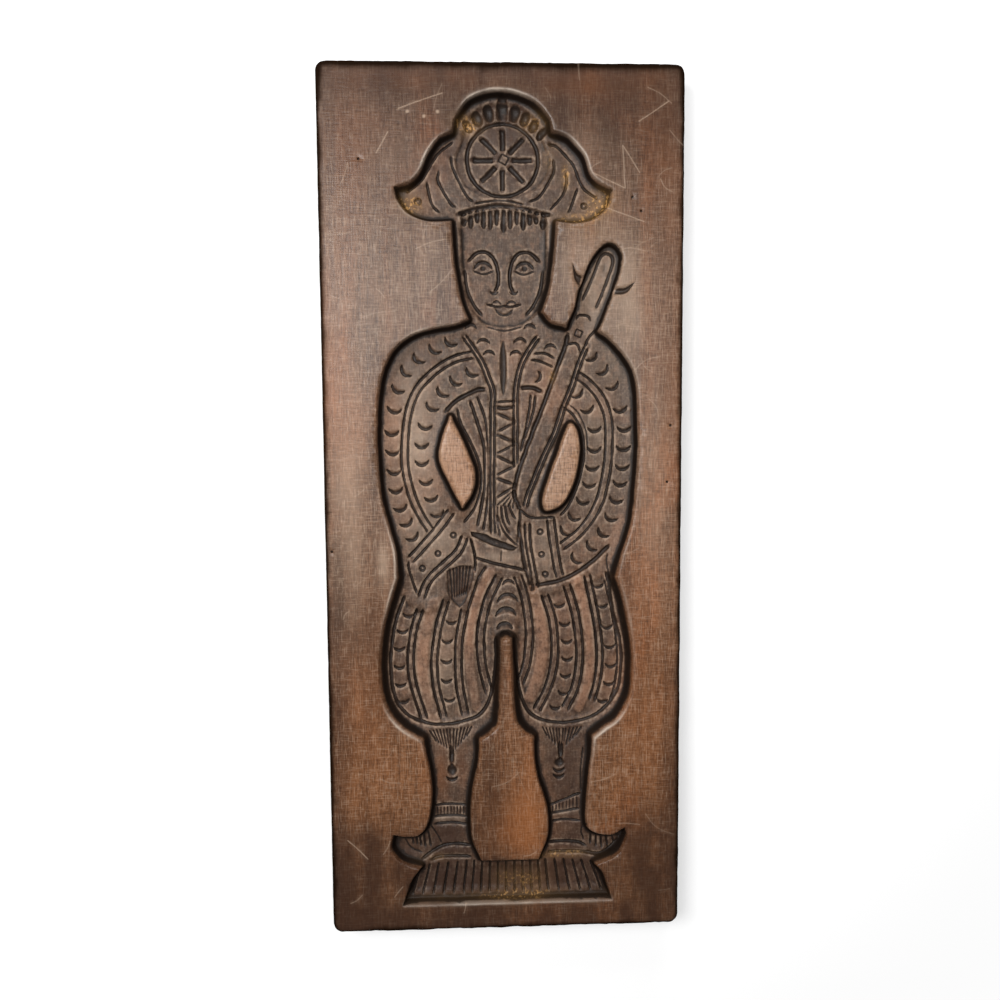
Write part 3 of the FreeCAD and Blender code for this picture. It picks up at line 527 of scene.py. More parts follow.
    def groove(self, run: Run, width: float, depth: float, taper: float = 2.5) -> None:
        """A round-bottomed groove: depth times one minus the square of the distance, eased at its ends.

        Args:
            run: Points that the groove runs through.
            width: Width at the face.
            depth: Depth in the middle.
            taper: Length over which each end rises.
        """
        points = smooth(run, 5)
        area = self.window(tuple(points.min(0)), tuple(points.max(0)), width + 1)
        away, along = self.to_line(points, area)
        total = float(np.hypot(*np.diff(points, axis=0).T).sum())
        ends = np.clip(np.minimum(along, total - along) / taper + 0.35, 0, 1)
        half = width / 2 * (0.75 + 0.25 * ends) * (1 + 0.16 * self.pressure[area])
        cut = np.clip(1 - (away / half) ** 2, 0, 1) ** 0.8
        self.carve(area, depth * cut * ends * (1 + 0.25 * self.pressure[area]))

    def oval(self, centre: Point, across: float, along: float, lean: float, depth: float) -> None:
        """A gouged oval hollow: depth times one minus the square of the oval radius.

        Args:
            centre: Middle of the oval.
            across: Half width.
            along: Half height.
            lean: Turn to the left in degrees.
            depth: Depth in the middle.
        """
        reach = max(across, along)
        area = self.window(centre, centre, reach + 1)
        u, v = turned(self.hand_x[area] - centre[0], self.hand_y[area] - centre[1], lean)
        self.carve(area, depth * np.clip(1 - (u / across) ** 2 - (v / along) ** 2, 0, 1) ** 0.7)

    def moon(self, centre: Point, opening: float, span: float, width: float, depth: float) -> None:
        """A gouge cut: deep at its round outer edge and rising to the inner one.

        The outer edge is half an ellipse and the inner one a flatter parabola through the same tips;
        the depth falls evenly from the outer to the inner.

        Args:
            centre: Middle of the cut.
            opening: Way the tips point, in degrees from the right.
            span: Distance between the tips.
            width: Width in the middle.
            depth: Depth at the outer edge.
        """
        area = self.window(centre, centre, span)
        u, v = turned(self.hand_x[area] - centre[0], self.hand_y[area] - centre[1], opening - 90)
        bow = np.clip(1 - (u / (span / 2)) ** 2, 0, 1)
        deepest = span * 0.54
        outer = deepest * (0.5 - bow ** 0.5)
        inner = deepest * 0.5 - (deepest - width) * bow
        share = (v - outer) / np.maximum(inner - outer, 1e-6)
        inside = (share > 0) & (share < 1) & (bow > 0)
        lip = np.clip(share / 0.16, 0, 1)
        self.carve(area, np.where(inside, depth * lip * (1 - share) ** 0.6 * np.clip(bow * 4, 0, 1), 0))

    def blurred(self, values: np.ndarray, reach: float) -> np.ndarray:
        """Running means over a square window, twice, along each side of the grid.

        Args:
            values: Numbers on the grid.
            reach: Half width of the window.

        Returns:
            The evened-out numbers.
        """
        count = max(1, int(round(reach / self.step)))
        for _ in range(2):
            for axis in (0, 1):
                pad = [(0, 0), (0, 0)]
                pad[axis] = (count + 1, count)
                total = np.cumsum(np.pad(values, pad, mode="edge"), axis=axis)
                span = 2 * count + 1
                values = (np.take(total, range(span, total.shape[axis]), axis)
                          - np.take(total, range(total.shape[axis] - span), axis)) / span
        return values

    def patched(self, patches: list[Patch], salt: int) -> np.ndarray:
        """Soft uneven patches: bell curves in both directions.

        Args:
            patches: Centre, reach across, reach along and strength of each.
            salt: Number that makes the unevenness its own.

        Returns:
            Strengths on the grid.
        """
        total = np.zeros_like(self.x)
        for x, y, across, along, strength in patches:
            total += strength * np.exp(-((self.x - x) / across) ** 2 - ((self.y - y) / along) ** 2)
        uneven = 1 + 0.45 * self.noise(9.0, salt, 22.0) + 0.2 * self.noise(3.0, salt + 1)
        return np.clip(total * uneven, 0, 1)

    def at(self, values: np.ndarray, points: np.ndarray) -> np.ndarray:
        """Numbers of the grid at any points, blended between the four nearest.

        Args:
            values: Numbers on the grid.
            points: Places, one row each.

        Returns:
            One number for each place.
        """
        col = np.clip((points[:, 0] - self.xs[0]) / (self.xs[1] - self.xs[0]), 0, len(self.xs) - 1.001)
        row = np.clip((points[:, 1] - self.ys[0]) / (self.ys[1] - self.ys[0]), 0, len(self.ys) - 1.001)
        c, r = col.astype(int), row.astype(int)
        fc, fr = col - c, row - r
        return ((values[r, c] * (1 - fc) + values[r, c + 1] * fc) * (1 - fr)
                + (values[r + 1, c] * (1 - fc) + values[r + 1, c + 1] * fc) * fr)


def smooth(run: Run, pieces: int) -> np.ndarray:
    """A Catmull-Rom curve through the points of a run.

    Args:
        run: Points that the curve passes.
        pieces: Parts that each span is cut into.

    Returns:
        Points along the curve, one row each, both ends included.
    """
    known = np.array(run, float)
    if len(known) < 3:
        return known
    known = np.vstack([known[0] * 2 - known[1], known, known[-1] * 2 - known[-2]])
    t = np.linspace(0, 1, pieces, endpoint=False)[None, :, None]
    a, b, c, d = (known[i:len(known) - 3 + i][:, None, :] for i in range(4))
    curve = 0.5 * (2 * b + (c - a) * t + (2 * a - 5 * b + 4 * c - d) * t ** 2
                   + (3 * b - a - 3 * c + d) * t ** 3)
    return np.vstack([curve.reshape(-1, 2), known[-2]])


def evenly(run: Run, count: int) -> np.ndarray:
    """Points at even distances along a smooth run.

    Args:
        run: Points that the curve passes.
        count: How many points are wanted.

    Returns:
        The points, one row each.
    """
    curve = smooth(run, 6)
    along = np.concatenate([[0], np.cumsum(np.hypot(*np.diff(curve, axis=0).T))])
    wanted = np.linspace(0, along[-1], count)
    return np.stack([np.interp(wanted, along, curve[:, axis]) for axis in (0, 1)], -1)


def around(centre: Point, radius: float, count: int, turn: float = 0.0) -> Run:
    """Points at even angles round a centre, with the first one again at the end.

    Args:
        centre: Middle of the circle.
        radius: Its radius.
        count: How many points there are.
        turn: Way to the first one, in radians from the right.

    Returns:
        The points.
    """
    angles = np.linspace(turn, turn + 2 * math.pi, count + 1)
    return [(centre[0] + radius * math.cos(a), centre[1] + radius * math.sin(a)) for a in angles]


def turned(x: np.ndarray, y: np.ndarray, degrees: float) -> tuple[np.ndarray, np.ndarray]:
    """Places seen from axes that are turned to the left.

    Args:
        x: Places to the right.
        y: Places upwards.
        degrees: Turn of the axes.

    Returns:
        The same places along the turned axes.
    """
    c, s = math.cos(math.radians(degrees)), math.sin(math.radians(degrees))
    return x * c + y * s, y * c - x * s


def eased(low: float, high: float, values: np.ndarray) -> np.ndarray:
    """Nought below low, one above high, and a cubic blend between."""
    t = np.clip((values - low) / (high - low), 0, 1)
    return t * t * (3 - 2 * t)


@dataclass
class Carving:
    """The figure as the carver cut it: the recess, the deeper areas and every gouge cut.

    Attributes:
        relief: Face that is carved.
        depth: Depth of the recess at its rim's foot.
        swell: Further depth in the middle of broad parts.
        wall: Width of the recess wall.
        hook: Depth of the stock's hooks.
        sleeve_moon: Span, width and depth of a moon on the sleeves.
        small_moon: Span, width and depth of a moon elsewhere.
        panel_rise: How far the panels stand above the floor.
        button: Radius and depth of a button's hollow.
        stud: Radius and depth of its middle, which stands up again.
        stray: How many scratches are strewn over the face.
        strewn: How far across and along from the middle they may start.
    """

    relief: Relief
    depth: float = 7.4
    swell: float = 1.0
    wall: float = 3.5
    hook: float = 3.4
    sleeve_moon: tuple[float, float, float] = (10.6, 3.8, 2.2)
    small_moon: tuple[float, float, float] = (8.8, 3.3, 1.9)
    panel_rise: float = 0.7
    button: tuple[float, float] = (2.7, 1.9)
    stud: tuple[float, float] = (1.2, -1.3)
    stray: int = 110
    strewn: tuple[float, float] = (118.0, 290.0)

    def cut(self) -> None:
        """Carves the whole figure into the face."""
        self.hollow()
        self.lines()
        self.panels()
        self.moons()
        self.rosette()
        self.fringe()
        self.features()
        self.ovals()
        self.wear()
        self.scratches()

    def lines(self) -> None:
        """Long lines, short cuts, rows of upright cuts and doubled lines."""
        face = self.relief
        for lines in (HAT_LINES, GUN_LINES, COAT_LINES, CUFF_LINES, BREECHES_LINES, LEG_LINES):
            for tool, run in lines:
                face.groove(run, *tool.value)
        for tool, strokes in SHORT_CUTS:
            for x0, y0, x1, y1 in strokes:
                face.groove([(x0, y0), (x1, y1)], *tool.value, taper=1.4)
        for tool, first, last, count in ROWS:
            for share in np.linspace(0, 1, count):
                x0, y0, x1, y1 = (a + (b - a) * share for a, b in zip(first, last))
                face.groove([(x0, y0), (x1, y1)], *tool.value, taper=1.2)
        for apart, run in BANDS + DOUBLES:
            self.doubled(apart, run)

    def panels(self) -> None:
        """Raises the panels of the breeches, and marks them and the bands for the finish."""
        self.panel = self.strips([(width / 2, run) for width, run in PANELS])
        self.band = self.strips([(apart / 2 + 1.4, run) for apart, run in BANDS])
        self.relief.height += self.panel_rise * self.panel

    def moons(self) -> None:
        """The moons on the sleeves and elsewhere, and the arches, which are deeper where wider."""
        face = self.relief
        for moons, size in ((SLEEVE_MOONS, self.sleeve_moon), (SMALL_MOONS, self.small_moon)):
            for x, y, opening in moons:
                face.moon((x, y), opening, *size)
        for x, y, span, width in ARCHES:
            face.moon((x, y), 270, span, width, depth=1.3 + 0.32 * width)

    def ovals(self) -> None:
        """The buttons, each a hollow round a small stud, the slit below the collar and the beads."""
        face = self.relief
        for place in BUTTONS:
            for radius, depth in (self.button, self.stud):
                face.oval(place, radius, radius, 0, depth)
        for x, y, across, along in OVALS:
            face.oval((x, y), across, along, 0, depth=2.2)

    def doubled(self, apart: float, run: Run) -> None:
        """Two lines side by side and a shallow channel between them.

        Args:
            apart: Distance between the two lines.
            run: Points midway between them.
        """
        middle = evenly(run, 14)
        along = np.gradient(middle, axis=0)
        out = np.stack([-along[:, 1], along[:, 0]], -1) / np.hypot(*along.T)[:, None]
        for side in (-0.5, 0.5):
            self.relief.groove(middle + side * apart * out, *Cut.LINE.value)
        self.relief.groove(run, *Cut.CHANNEL.value)

    def strips(self, strips: list[tuple[float, Run]]) -> np.ndarray:
        """Strips with soft edges along smooth runs.

        Args:
            strips: Half width and middle of each.

        Returns:
            One inside the strips and nought outside, on the grid.
        """
        face = self.relief
        marked = np.zeros_like(face.height)
        for half, run in strips:
            middle = evenly(run, 14)
            area = face.window(tuple(middle.min(0)), tuple(middle.max(0)), 8)
            away, _ = face.to_line(middle, area)
            marked[area] = np.maximum(marked[area], eased(half, half - 2.0, away))
        return marked

    def hollow(self) -> None:
        """The recess and its deeper areas.

        The wall drops along one minus the square of what is left of its width, so that it is steep
        at the top and runs out into the floor. It is wider beside the breeches, and narrower at the
        foot of the plinth and round the gun.
        """
        face = self.relief
        inward = face.inward(FIGURE)
        for island in ISLANDS:
            inward = np.minimum(inward, -face.inward(island))
        self.rim = inward
        hips = eased(-20, -60, face.y) * eased(-176, -150, face.y)
        base = eased(-270, -277, face.y)
        gun = eased(42, 48, face.x) * eased(118, 132, face.y) * eased(192, 186, face.y)
        width = self.wall * (1 + 0.12 * face.pressure) + 2.8 * hips - 1.6 * base - 1.4 * gun
        # A band down the middle of the wall, which the finish darkens as painted shade of the recess, with
        # dirt.
        self.foot = np.clip(1 - np.abs(inward / width - 0.55) / 0.62, 0, 1)
        self.isle = np.clip(1 + np.maximum(*(face.inward(island) for island in ISLANDS[:2])) / 2, 0, 1)
        share = np.clip((inward + 0.5) / (width + 0.5), 0, 1)
        depth = self.depth + self.swell * eased(3, 11, inward)
        for area, more, slope in DEEPER:
            depth = depth + more * eased(-0.3, slope, face.inward(area))
        face.height -= depth * (1 - (1 - share) ** 2.0)
        for hook in HOOKS:
            inside = face.inward(hook)
            face.height = np.minimum(face.height, -self.hook * eased(-0.3, 2.2, inside))

    def rosette(self) -> None:
        """The rosette with its ring and spokes, the small squares, and the petals above it."""
        face = self.relief
        face.groove(around(ROSETTE, RING_RADIUS, 32), *Cut.RING.value, taper=0.1)
        inner, outer = (around(ROSETTE, radius, 8) for radius in SPOKE_REACH)
        for start, end in zip(inner[:-1], outer[:-1]):
            face.groove([start, end], *Cut.SPOKE.value, taper=1.5)
        for centre, radius, turn, tool in SQUARES:
            corners = around(centre, radius, 4, turn)
            for start, end in zip(corners[:-1], corners[1:]):
                face.groove([start, end], *tool.value, taper=0.4)
        for x, y, across, along, lean in PETALS:
            face.oval((x, y), across, along, lean, depth=2.6)

    def fringe(self) -> None:
        """The hair under the hat: thirteen upright hollows that hang from a bow, longest in the middle."""
        for x in np.linspace(-26, 28, 13):
            drop = 4.6 + 3.0 * (1 - abs(x) / 30) + 1.2 * math.sin(2.3 * x)
            top = 203.8 + 3 * (1 - (x / 28) ** 2)
            self.relief.oval((x, top - drop), 2.6, drop, 0, depth=3.0)

    def features(self) -> None:
        """A plain carved face of the maker's own, set out from its height and width alone.

        The eyes are a little above the middle of the face, the nose ends a third of the way up
        and the mouth lies a fifth of the way up.
        """
        face = self.relief
        middle, top, chin, half = 1.0, 205.0, 124.3, 30.5
        tall = top - chin
        eyes, nose, mouth = chin + 0.53 * tall, chin + 0.32 * tall, chin + 0.2 * tall
        for side in (-1, 1):
            def at(out: float, height: float) -> Point:
                """A place on this side of the face."""
                return middle + side * out * half, height
            face.groove([at(0.8, eyes + 4), at(0.6, eyes + 9.6), at(0.36, eyes + 9.6), at(0.2, eyes + 4),
                         at(0.13, eyes - 4), at(0.14, nose + 5), at(0.21, nose)], 3.0, 2.1)
            face.oval(at(0.47, eyes), 7.4, 5.0, 0, 1.0)
            face.moon(at(0.47, eyes + 1), 270, 13.4, 3.6, 1.8)
            face.oval(at(0.47, eyes - 0.6), 2.3, 2.1, 0, 1.2)
            face.groove([at(0.23, eyes - 2.6), at(0.46, eyes - 4.8), at(0.7, eyes - 2.4)], 1.8, 1.2)
            face.moon(at(0.22, nose - 0.6), 90, 6.4, 2.8, 1.6)
            face.groove([at(0.88, eyes - 3), at(0.83, nose + 2), at(0.68, mouth + 1), at(0.5, mouth - 6)],
                        2.6, 1.5)
            face.moon(at(0.17, mouth + 2.2), 270, 7.4, 2.4, 1.4)
        face.groove([(middle - 0.38 * half, mouth + 1.4), (middle - 0.16 * half, mouth - 0.2),
                     (middle, mouth + 0.4), (middle + 0.16 * half, mouth - 0.2),
                     (middle + 0.38 * half, mouth + 1.4)], 2.0, 1.8)
        face.moon((middle, mouth - 3.4), 90, 13.0, 2.8, 1.4)
        face.groove([(middle - 0.4 * half, chin + 2.2), (middle, chin - 0.6),
                     (middle + 0.4 * half, chin + 2.2)], 1.8, 1.2)

    def wear(self) -> None:
        """Tool marks on the floors, a face that age has made wavy, and wormholes."""
        face = self.relief
        floor = eased(2.0, 5.0, self.rim)
        marks = face.noise(2.2, 21, 5.0) * 0.16 + face.noise(1.3, 22) * 0.1
        level = 1 - eased(-0.5, 1.0, self.rim)
        face.height += marks * floor
        face.height += (face.noise(38.0, 23, 120.0) * 0.22 + face.noise(6.0, 24, 60.0) * 0.06) * level
        for place in WORMHOLES:
            face.oval(place, 0.9, 0.9, 0, depth=1.6)

    def scratches(self) -> None:
        """The large scratches, those that a seed strews over the face, and the pale dots."""
        face = self.relief
        self.scratch = np.zeros_like(face.height)
        rng = np.random.default_rng(face.seed)
        edge = np.array(self.strewn)
        for run in SCRATCHES:
            self.scratched(np.array(run, float), 1.0)
        for _ in range(self.stray):
            start = rng.uniform(-edge, edge)
            turn, length = rng.normal(0.6, 0.9), rng.uniform(5, 26)
            bend = rng.uniform(-0.15, 0.15) * length
            way = np.array((math.cos(turn), math.sin(turn)))
            middle = start + way * length / 2 + np.array((-way[1], way[0])) * bend
            self.scratched(smooth([tuple(start), tuple(middle), tuple(start + way * length)], 4),
                           rng.uniform(0.25, 0.75))
        for x, y in PALE_DOTS:
            area = face.window((x, y), (x, y), 2)
            away = np.hypot(face.x[area] - x, face.y[area] - y)
            self.scratch[area] = np.maximum(self.scratch[area], np.clip(1.6 - away, 0, 1))

    def scratched(self, points: np.ndarray, strength: float) -> None:
        """One scratch, where the face is level.

        Args:
            points: Corners of its line.
            strength: How pale it is.
        """
        face = self.relief
        area = face.window(tuple(points.min(0)), tuple(points.max(0)), 2)
        away, _ = face.to_line(points, area)
        line = strength * np.clip(1 - away / 0.5, 0, 1) * (self.rim[area] < 0)
        self.scratch[area] = np.maximum(self.scratch[area], line)


@dataclass
class Board:
    """The whole board: the carved face, the rounded rim and corners and the plain back.

    Attributes:
        low: Lowest corner of the board, in metres.
        high: Highest corner of the board, in metres.
        corner: Radius of the corners, in millimetres.
        rim: Rounding of the rims, in millimetres.
        most: Triangles that the face may have after thinning.
        grid: Distance between the face's grid lines, in millimetres.
        face_from: Height from which a point belongs to the face, in millimetres.
        turns: Rings that make the rounding of the back's rim.
    """

    low: tuple[float, float, float]
    high: tuple[float, float, float]
    corner: float = 7.0
    rim: float = 2.4
    most: int = 188000
    grid: float = 0.5
    rough_grid: float = 0.8
    face_from: float = 12.0
    turns: int = 5

    def build(self) -> bpy.types.Object:
        """Makes the board and the attributes that its finish reads.

        Returns:
            The finished object.
        """
        width, length = ((self.high[i] - self.low[i]) / MM for i in (0, 1))
        thick = (self.high[2] - self.low[2]) / MM
        relief = Relief(width, length, self.grid)
        carving = Carving(relief)
        carving.cut()
        x, y, drop = self.rounded(relief)
        top = thick + relief.height - drop
        marks = self.marks(relief, carving)
        raised = 0.7 * marks["lip"] + 0.5 * marks["scratch"] + 0.25 * relief.noise(5.0, 33)
        piece = self.closed(x, y, top + raised)
        faces = 2 * (x.size + 4 * (x.shape[0] + x.shape[1]))
        self.thinned(piece, self.most / faces)
        self.settled(piece, relief, top, raised)
        self.dressed(piece, relief, marks)
        return piece

    def rounded(self, relief: Relief) -> tuple[np.ndarray, np.ndarray, np.ndarray]:
        """Rounds the corners and the rim.

        In each corner square a point keeps its direction from the square's inner corner and takes
        the larger of its two offsets as its distance. The rim drops along a quarter circle.

        Args:
            relief: The face's grid.

        Returns:
            Places across, places along and the rim's drop.
        """
        half_x, half_y = relief.width / 2, relief.length / 2
        u = np.sign(relief.x) * np.maximum(np.abs(relief.x) - (half_x - self.corner), 0)
        v = np.sign(relief.y) * np.maximum(np.abs(relief.y) - (half_y - self.corner), 0)
        far = np.maximum(np.abs(u), np.abs(v))
        shrink = np.where(far > 0, far / np.maximum(np.hypot(u, v), 1e-9), 1.0)
        x = relief.x - u + u * shrink
        y = relief.y - v + v * shrink
        worn = self.rim * (1 + 0.35 * relief.noise(11.0, 31) + 0.2 * relief.noise(3.0, 32))
        inside = np.clip(worn - (self.corner - far), 0, worn)
        drop = worn - np.sqrt(np.maximum(worn ** 2 - inside ** 2, 0))
        return x, y, drop

    def closed(self, x: np.ndarray, y: np.ndarray, top: np.ndarray) -> bpy.types.Object:
        """Joins the face to upright sides and a flat back.

        The sides are rings of the face's border: straight down, then in along a quarter circle.

        Args:
            x: Places across.
            y: Places along.
            top: Heights of the face.

        Returns:
            The closed board.
        """
        rows, cols = x.shape
        number = np.arange(rows * cols).reshape(rows, cols)
        border = np.concatenate([number[0, :-1], number[:-1, -1], number[-1, :0:-1], number[:0:-1, 0]])
        points = np.stack([x, y, top], -1).reshape(-1, 3)
        edge = points[border]
        inner = np.clip(edge[:, :2], (-self.reach(x), -self.reach(y)), (self.reach(x), self.reach(y)))
        out = (edge[:, :2] - inner) / self.corner
        rings = [points]
        for turn in np.linspace(0, math.pi / 2, self.turns):
            ring = np.empty_like(edge)
            ring[:, :2] = edge[:, :2] - out * self.rim * (1 - math.cos(turn))
            ring[:, 2] = self.rim * (1 - math.sin(turn))
            rings.append(ring)
        corners = np.concatenate(rings) * MM
        faces = np.stack([number[:-1, :-1], number[:-1, 1:], number[1:, 1:], number[1:, :-1]], -1)
        count = len(border)
        before = border
        quads = [faces.reshape(-1, 4)]
        for index in range(self.turns):
            after = rows * cols + index * count + np.arange(count)
            quads.append(np.stack([np.roll(before, -1), before, after, np.roll(after, -1)], -1))
            before = after
        quads = np.concatenate(quads)
        mesh = bpy.data.meshes.new("carved_board")
        mesh.vertices.add(len(corners))
        mesh.vertices.foreach_set("co", corners.ravel())
        mesh.loops.add(quads.size + count)
        mesh.loops.foreach_set("vertex_index", np.concatenate([quads.ravel(), before[::-1]]))
        mesh.polygons.add(len(quads) + 1)
        mesh.polygons.foreach_set("loop_start", np.append(np.arange(len(quads)) * 4, quads.size))
        mesh.update(calc_edges=True)
        mesh.validate()
        piece = bpy.data.objects.new("carved_board", mesh)
        bpy.context.scene.collection.objects.link(piece)
        return piece

    def reach(self, places: np.ndarray) -> float:
        """How far the straight part of a side reaches from the middle."""
        return float(places.max()) - self.corner

    def thinned(self, piece: bpy.types.Object, share: float) -> None:
        """Merges triangles where the surface is even.

        Args:
            piece: The full mesh.
            share: Share of the triangles that stay.
        """
        thin = piece.modifiers.new("thin", "DECIMATE")
        thin.ratio = min(1.0, share)
        graph = bpy.context.evaluated_depsgraph_get()
        lighter = bpy.data.meshes.new_from_object(piece.evaluated_get(graph))
        piece.modifiers.clear()
        full = piece.data
        piece.data = lighter
        bpy.data.meshes.remove(full)
        lighter.name = "carved_board"
        LOG.info("board: %d triangles", sum(len(face.vertices) - 2 for face in lighter.polygons))

    def settled(self, piece: bpy.types.Object, relief: Relief, top: np.ndarray, raised: np.ndarray) -> None:
        """Takes off what was added for the thinning and puts the corners back on the carved face.

        Args:
            piece: The thinned board.
            relief: Its face's grid.
            top: Heights of the face.
            raised: What was added to them, so that triangles stay small where the finish changes.
        """
        places = read(piece.data)
        on_face = places[:, 2] > self.face_from
        inset = np.minimum(relief.width / 2 - np.abs(places[:, 0]), relief.length / 2 - np.abs(places[:, 1]))
        lower = places[:, 2] - relief.at(raised, places)
        height = np.where(inset > self.corner, relief.at(top, places), lower)
        places[:, 2] = np.where(on_face, height, places[:, 2])
        piece.data.vertices.foreach_set("co", (places * MM).ravel())

    def marks(self, relief: Relief, carving: Carving) -> dict[str, np.ndarray]:
        """What the finish reads: how deep, hollow, proud, scratched or near an edge a place is.

        A place is hollow or proud by its height against the running mean round it, and the marks
        of the rim and the edge fall off as bell and exponential curves of the distance.

        Args:
            relief: The face.
            carving: The carving's outlines and marks.

        Returns:
            Numbers on the grid, by name.
        """
        height = relief.height
        near = relief.blurred(height, 1.2) - height
        wide = relief.blurred(height, 3.5) - height
        across = np.abs(relief.x) - relief.width / 2 + self.corner
        along = np.abs(relief.y) - relief.length / 2 + self.corner
        beyond = np.hypot(np.maximum(across, 0), np.maximum(along, 0))
        edge = self.corner - beyond - np.minimum(np.maximum(across, along), 0)
        # Near the head end the edge's painted shade reaches further in.
        head = eased(relief.length / 2 - 24, relief.length / 2 - 4, relief.y)
        foot = carving.foot
        return {
            "sunk": np.clip(-height / 9.0, 0, 1),
            # Cuts and low places, which the finish darkens as painted shade with grime.
            "hollow": np.clip(near / 0.55, 0, 1) * 0.9 + np.clip(wide / 2.0, 0, 1) * 0.6,
            # The wall's band, darkened in the finish as painted shade with dirt.
            "wall": foot * foot * (3 - 2 * foot),
            "proud": np.clip(-near / 0.45, 0, 1) * eased(0.8, 3.0, carving.rim),
            # A painted highlight just outside the recess rim.
            "lip": np.exp(-((carving.rim + 0.7) / 0.9) ** 2) * relief.patched(RIM_HIGHLIGHTS, 59),
            "isle": carving.isle,
            "panel": carving.panel,
            "band": carving.band,
            # Worn patches, partly painted sheen and highlights.
            "rubbed_and_sheen": relief.patched(RUBBED_AND_SHEEN, 51),
            # Stains, partly painted shade.
            "stained_and_shaded": relief.patched(STAINED_AND_SHADED, 53),
            "amber": relief.patched(AMBER, 55),
            "crumbs": relief.patched(CRUMBS, 57),
            "scratch": carving.scratch,
            # Painted shade with some dirt, darkening the face towards the board's edges.
            "edge": np.clip(np.exp(-edge / (2.7 + relief.noise(12.0, 41) + 2.4 * head)), 0, 1),
        }

    def dressed(self, piece: bpy.types.Object, relief: Relief, marks: dict[str, np.ndarray]) -> None:
        """Writes the marks on the board's corners and smooths its shading.

        Args:
            piece: The board.
            relief: Its face's grid.
            marks: Numbers on the grid, by name.
        """
        mesh = piece.data
        places = read(mesh)
        on_face = places[:, 2] > self.face_from
        for name, values in marks.items():
            attribute = mesh.attributes.new(name, "FLOAT", "POINT")
            # The sides take a little of the edge mark's painted shade and dirt.
            side = 0.2 if name == "edge" else 0.0
            attribute.data.foreach_set("value", np.where(on_face, relief.at(values, places), side))
        mesh.polygons.foreach_set("use_smooth", np.ones(len(mesh.polygons), bool))
        mesh.update()


def read(mesh: bpy.types.Mesh) -> np.ndarray:
    """The corners of a mesh in millimetres.

    Args:
        mesh: Mesh that is read.

    Returns:
        The corners, one row each.
    """
    places = np.empty(len(mesh.vertices) * 3)
    mesh.vertices.foreach_get("co", places)
    return places.reshape(-1, 3) / MM


class Value:
    """A socket of numbers that can be used in Python expressions."""

    def __init__(self, finish: "Finish", socket: bpy.types.NodeSocket) -> None:
        """Keeps the node tree and the socket."""
        self.finish = finish
        self.socket = socket

    def _maths(self, operation: str, *values: "Value | float") -> "Value":
        """Adds a Math node."""
        return self.finish.node("ShaderNodeMath", {"operation": operation}, dict(enumerate(values)))

    def __add__(self, other: "Value | float") -> "Value":
        """This plus the other."""
        return self._maths("ADD", self, other)

    def __rsub__(self, other: float) -> "Value":
        """The other less this."""
        return self._maths("SUBTRACT", other, self)

    def __mul__(self, other: "Value | float") -> "Value":
        """This times the other."""
        return self._maths("MULTIPLY", self, other)

    __radd__ = __add__
    __rmul__ = __mul__

    def at_least(self, other: "Value | float") -> "Value":
        """The larger of this and the other."""
        return self._maths("MAXIMUM", self, other)

    def between(self, low: float, high: float) -> "Value":
        """Nought below low, one above high, and a soft blend between."""
        return self.finish.node("ShaderNodeMapRange", {"interpolation_type": "SMOOTHSTEP"},
                                {"Value": self, "From Min": low, "From Max": high})


def shade(red: int, green: int, blue: int) -> tuple[float, float, float, float]:
    """A colour as screens show it, turned into the linear one that shaders use."""
    return tuple(((c / 255 + 0.055) / 1.055) ** 2.4 if c > 10 else c / 255 / 12.92
                 for c in (red, green, blue)) + (1.0,)


@dataclass
class Finish:
    """A material and the one method that adds its nodes.

    Attributes:
        name: Name of the material.
    """

    name: str

    def __post_init__(self) -> None:
        """Starts an empty material."""
        self.material = bpy.data.materials.new(self.name)
        self.material.use_nodes = True
        self.tree = self.material.node_tree
        self.tree.nodes.clear()
        self.output = self.tree.nodes.new("ShaderNodeOutputMaterial")

    def node(self, kind: str, settings: dict, inputs: dict, output: int | str = 0) -> Value:
        """Adds a node.

        Args:
            kind: Type of the node.
            settings: Properties that are set first.
            inputs: Values or links, by the sockets' names or numbers.
            output: Output that is handed back.

        Returns:
            The node's output.
        """
        made = self.tree.nodes.new(kind)
        for name, value in settings.items():
            setattr(made, name, value)
        for name, value in inputs.items():
            if isinstance(value, Value):
                self.tree.links.new(value.socket, made.inputs[name])
            elif value is not None:
                made.inputs[name].default_value = value
        return Value(self, made.outputs[output])

    def mark(self, name: str) -> Value:
        """The numbers of one of the piece's attributes."""
        return self.node("ShaderNodeAttribute", {"attribute_name": name}, {}, "Fac")

    def mixed(self, share: Value | float, first: Value | tuple, second: Value | tuple) -> Value:
        """A blend of two colours.

        Args:
            share: Share of the second.
            first: Colour under the blend.
            second: Colour over it.

        Returns:
            The blended colour.
        """
        return self.node("ShaderNodeMix", {"data_type": "RGBA"}, {0: share, 6: first, 7: second}, 2)

    def streaks(self, scale: tuple[float, float, float], detail: float, warp: float = 0.0) -> Value:
        """Noise stretched along the board, with its scale in patches to the metre.

        Args:
            scale: Patches to the metre along each axis.
            detail: Layers of finer noise.
            warp: How much the noise bends itself.

        Returns:
            Numbers round one half.
        """
        place = self.node("ShaderNodeTexCoord", {}, {}, "Object")
        stretched = self.node("ShaderNodeMapping", {}, {"Vector": place, "Scale": scale})
        return self.node("ShaderNodeTexNoise", {"noise_dimensions": "3D"},
                         {"Vector": stretched, "Scale": 1.0, "Detail": detail, "Distortion": warp})


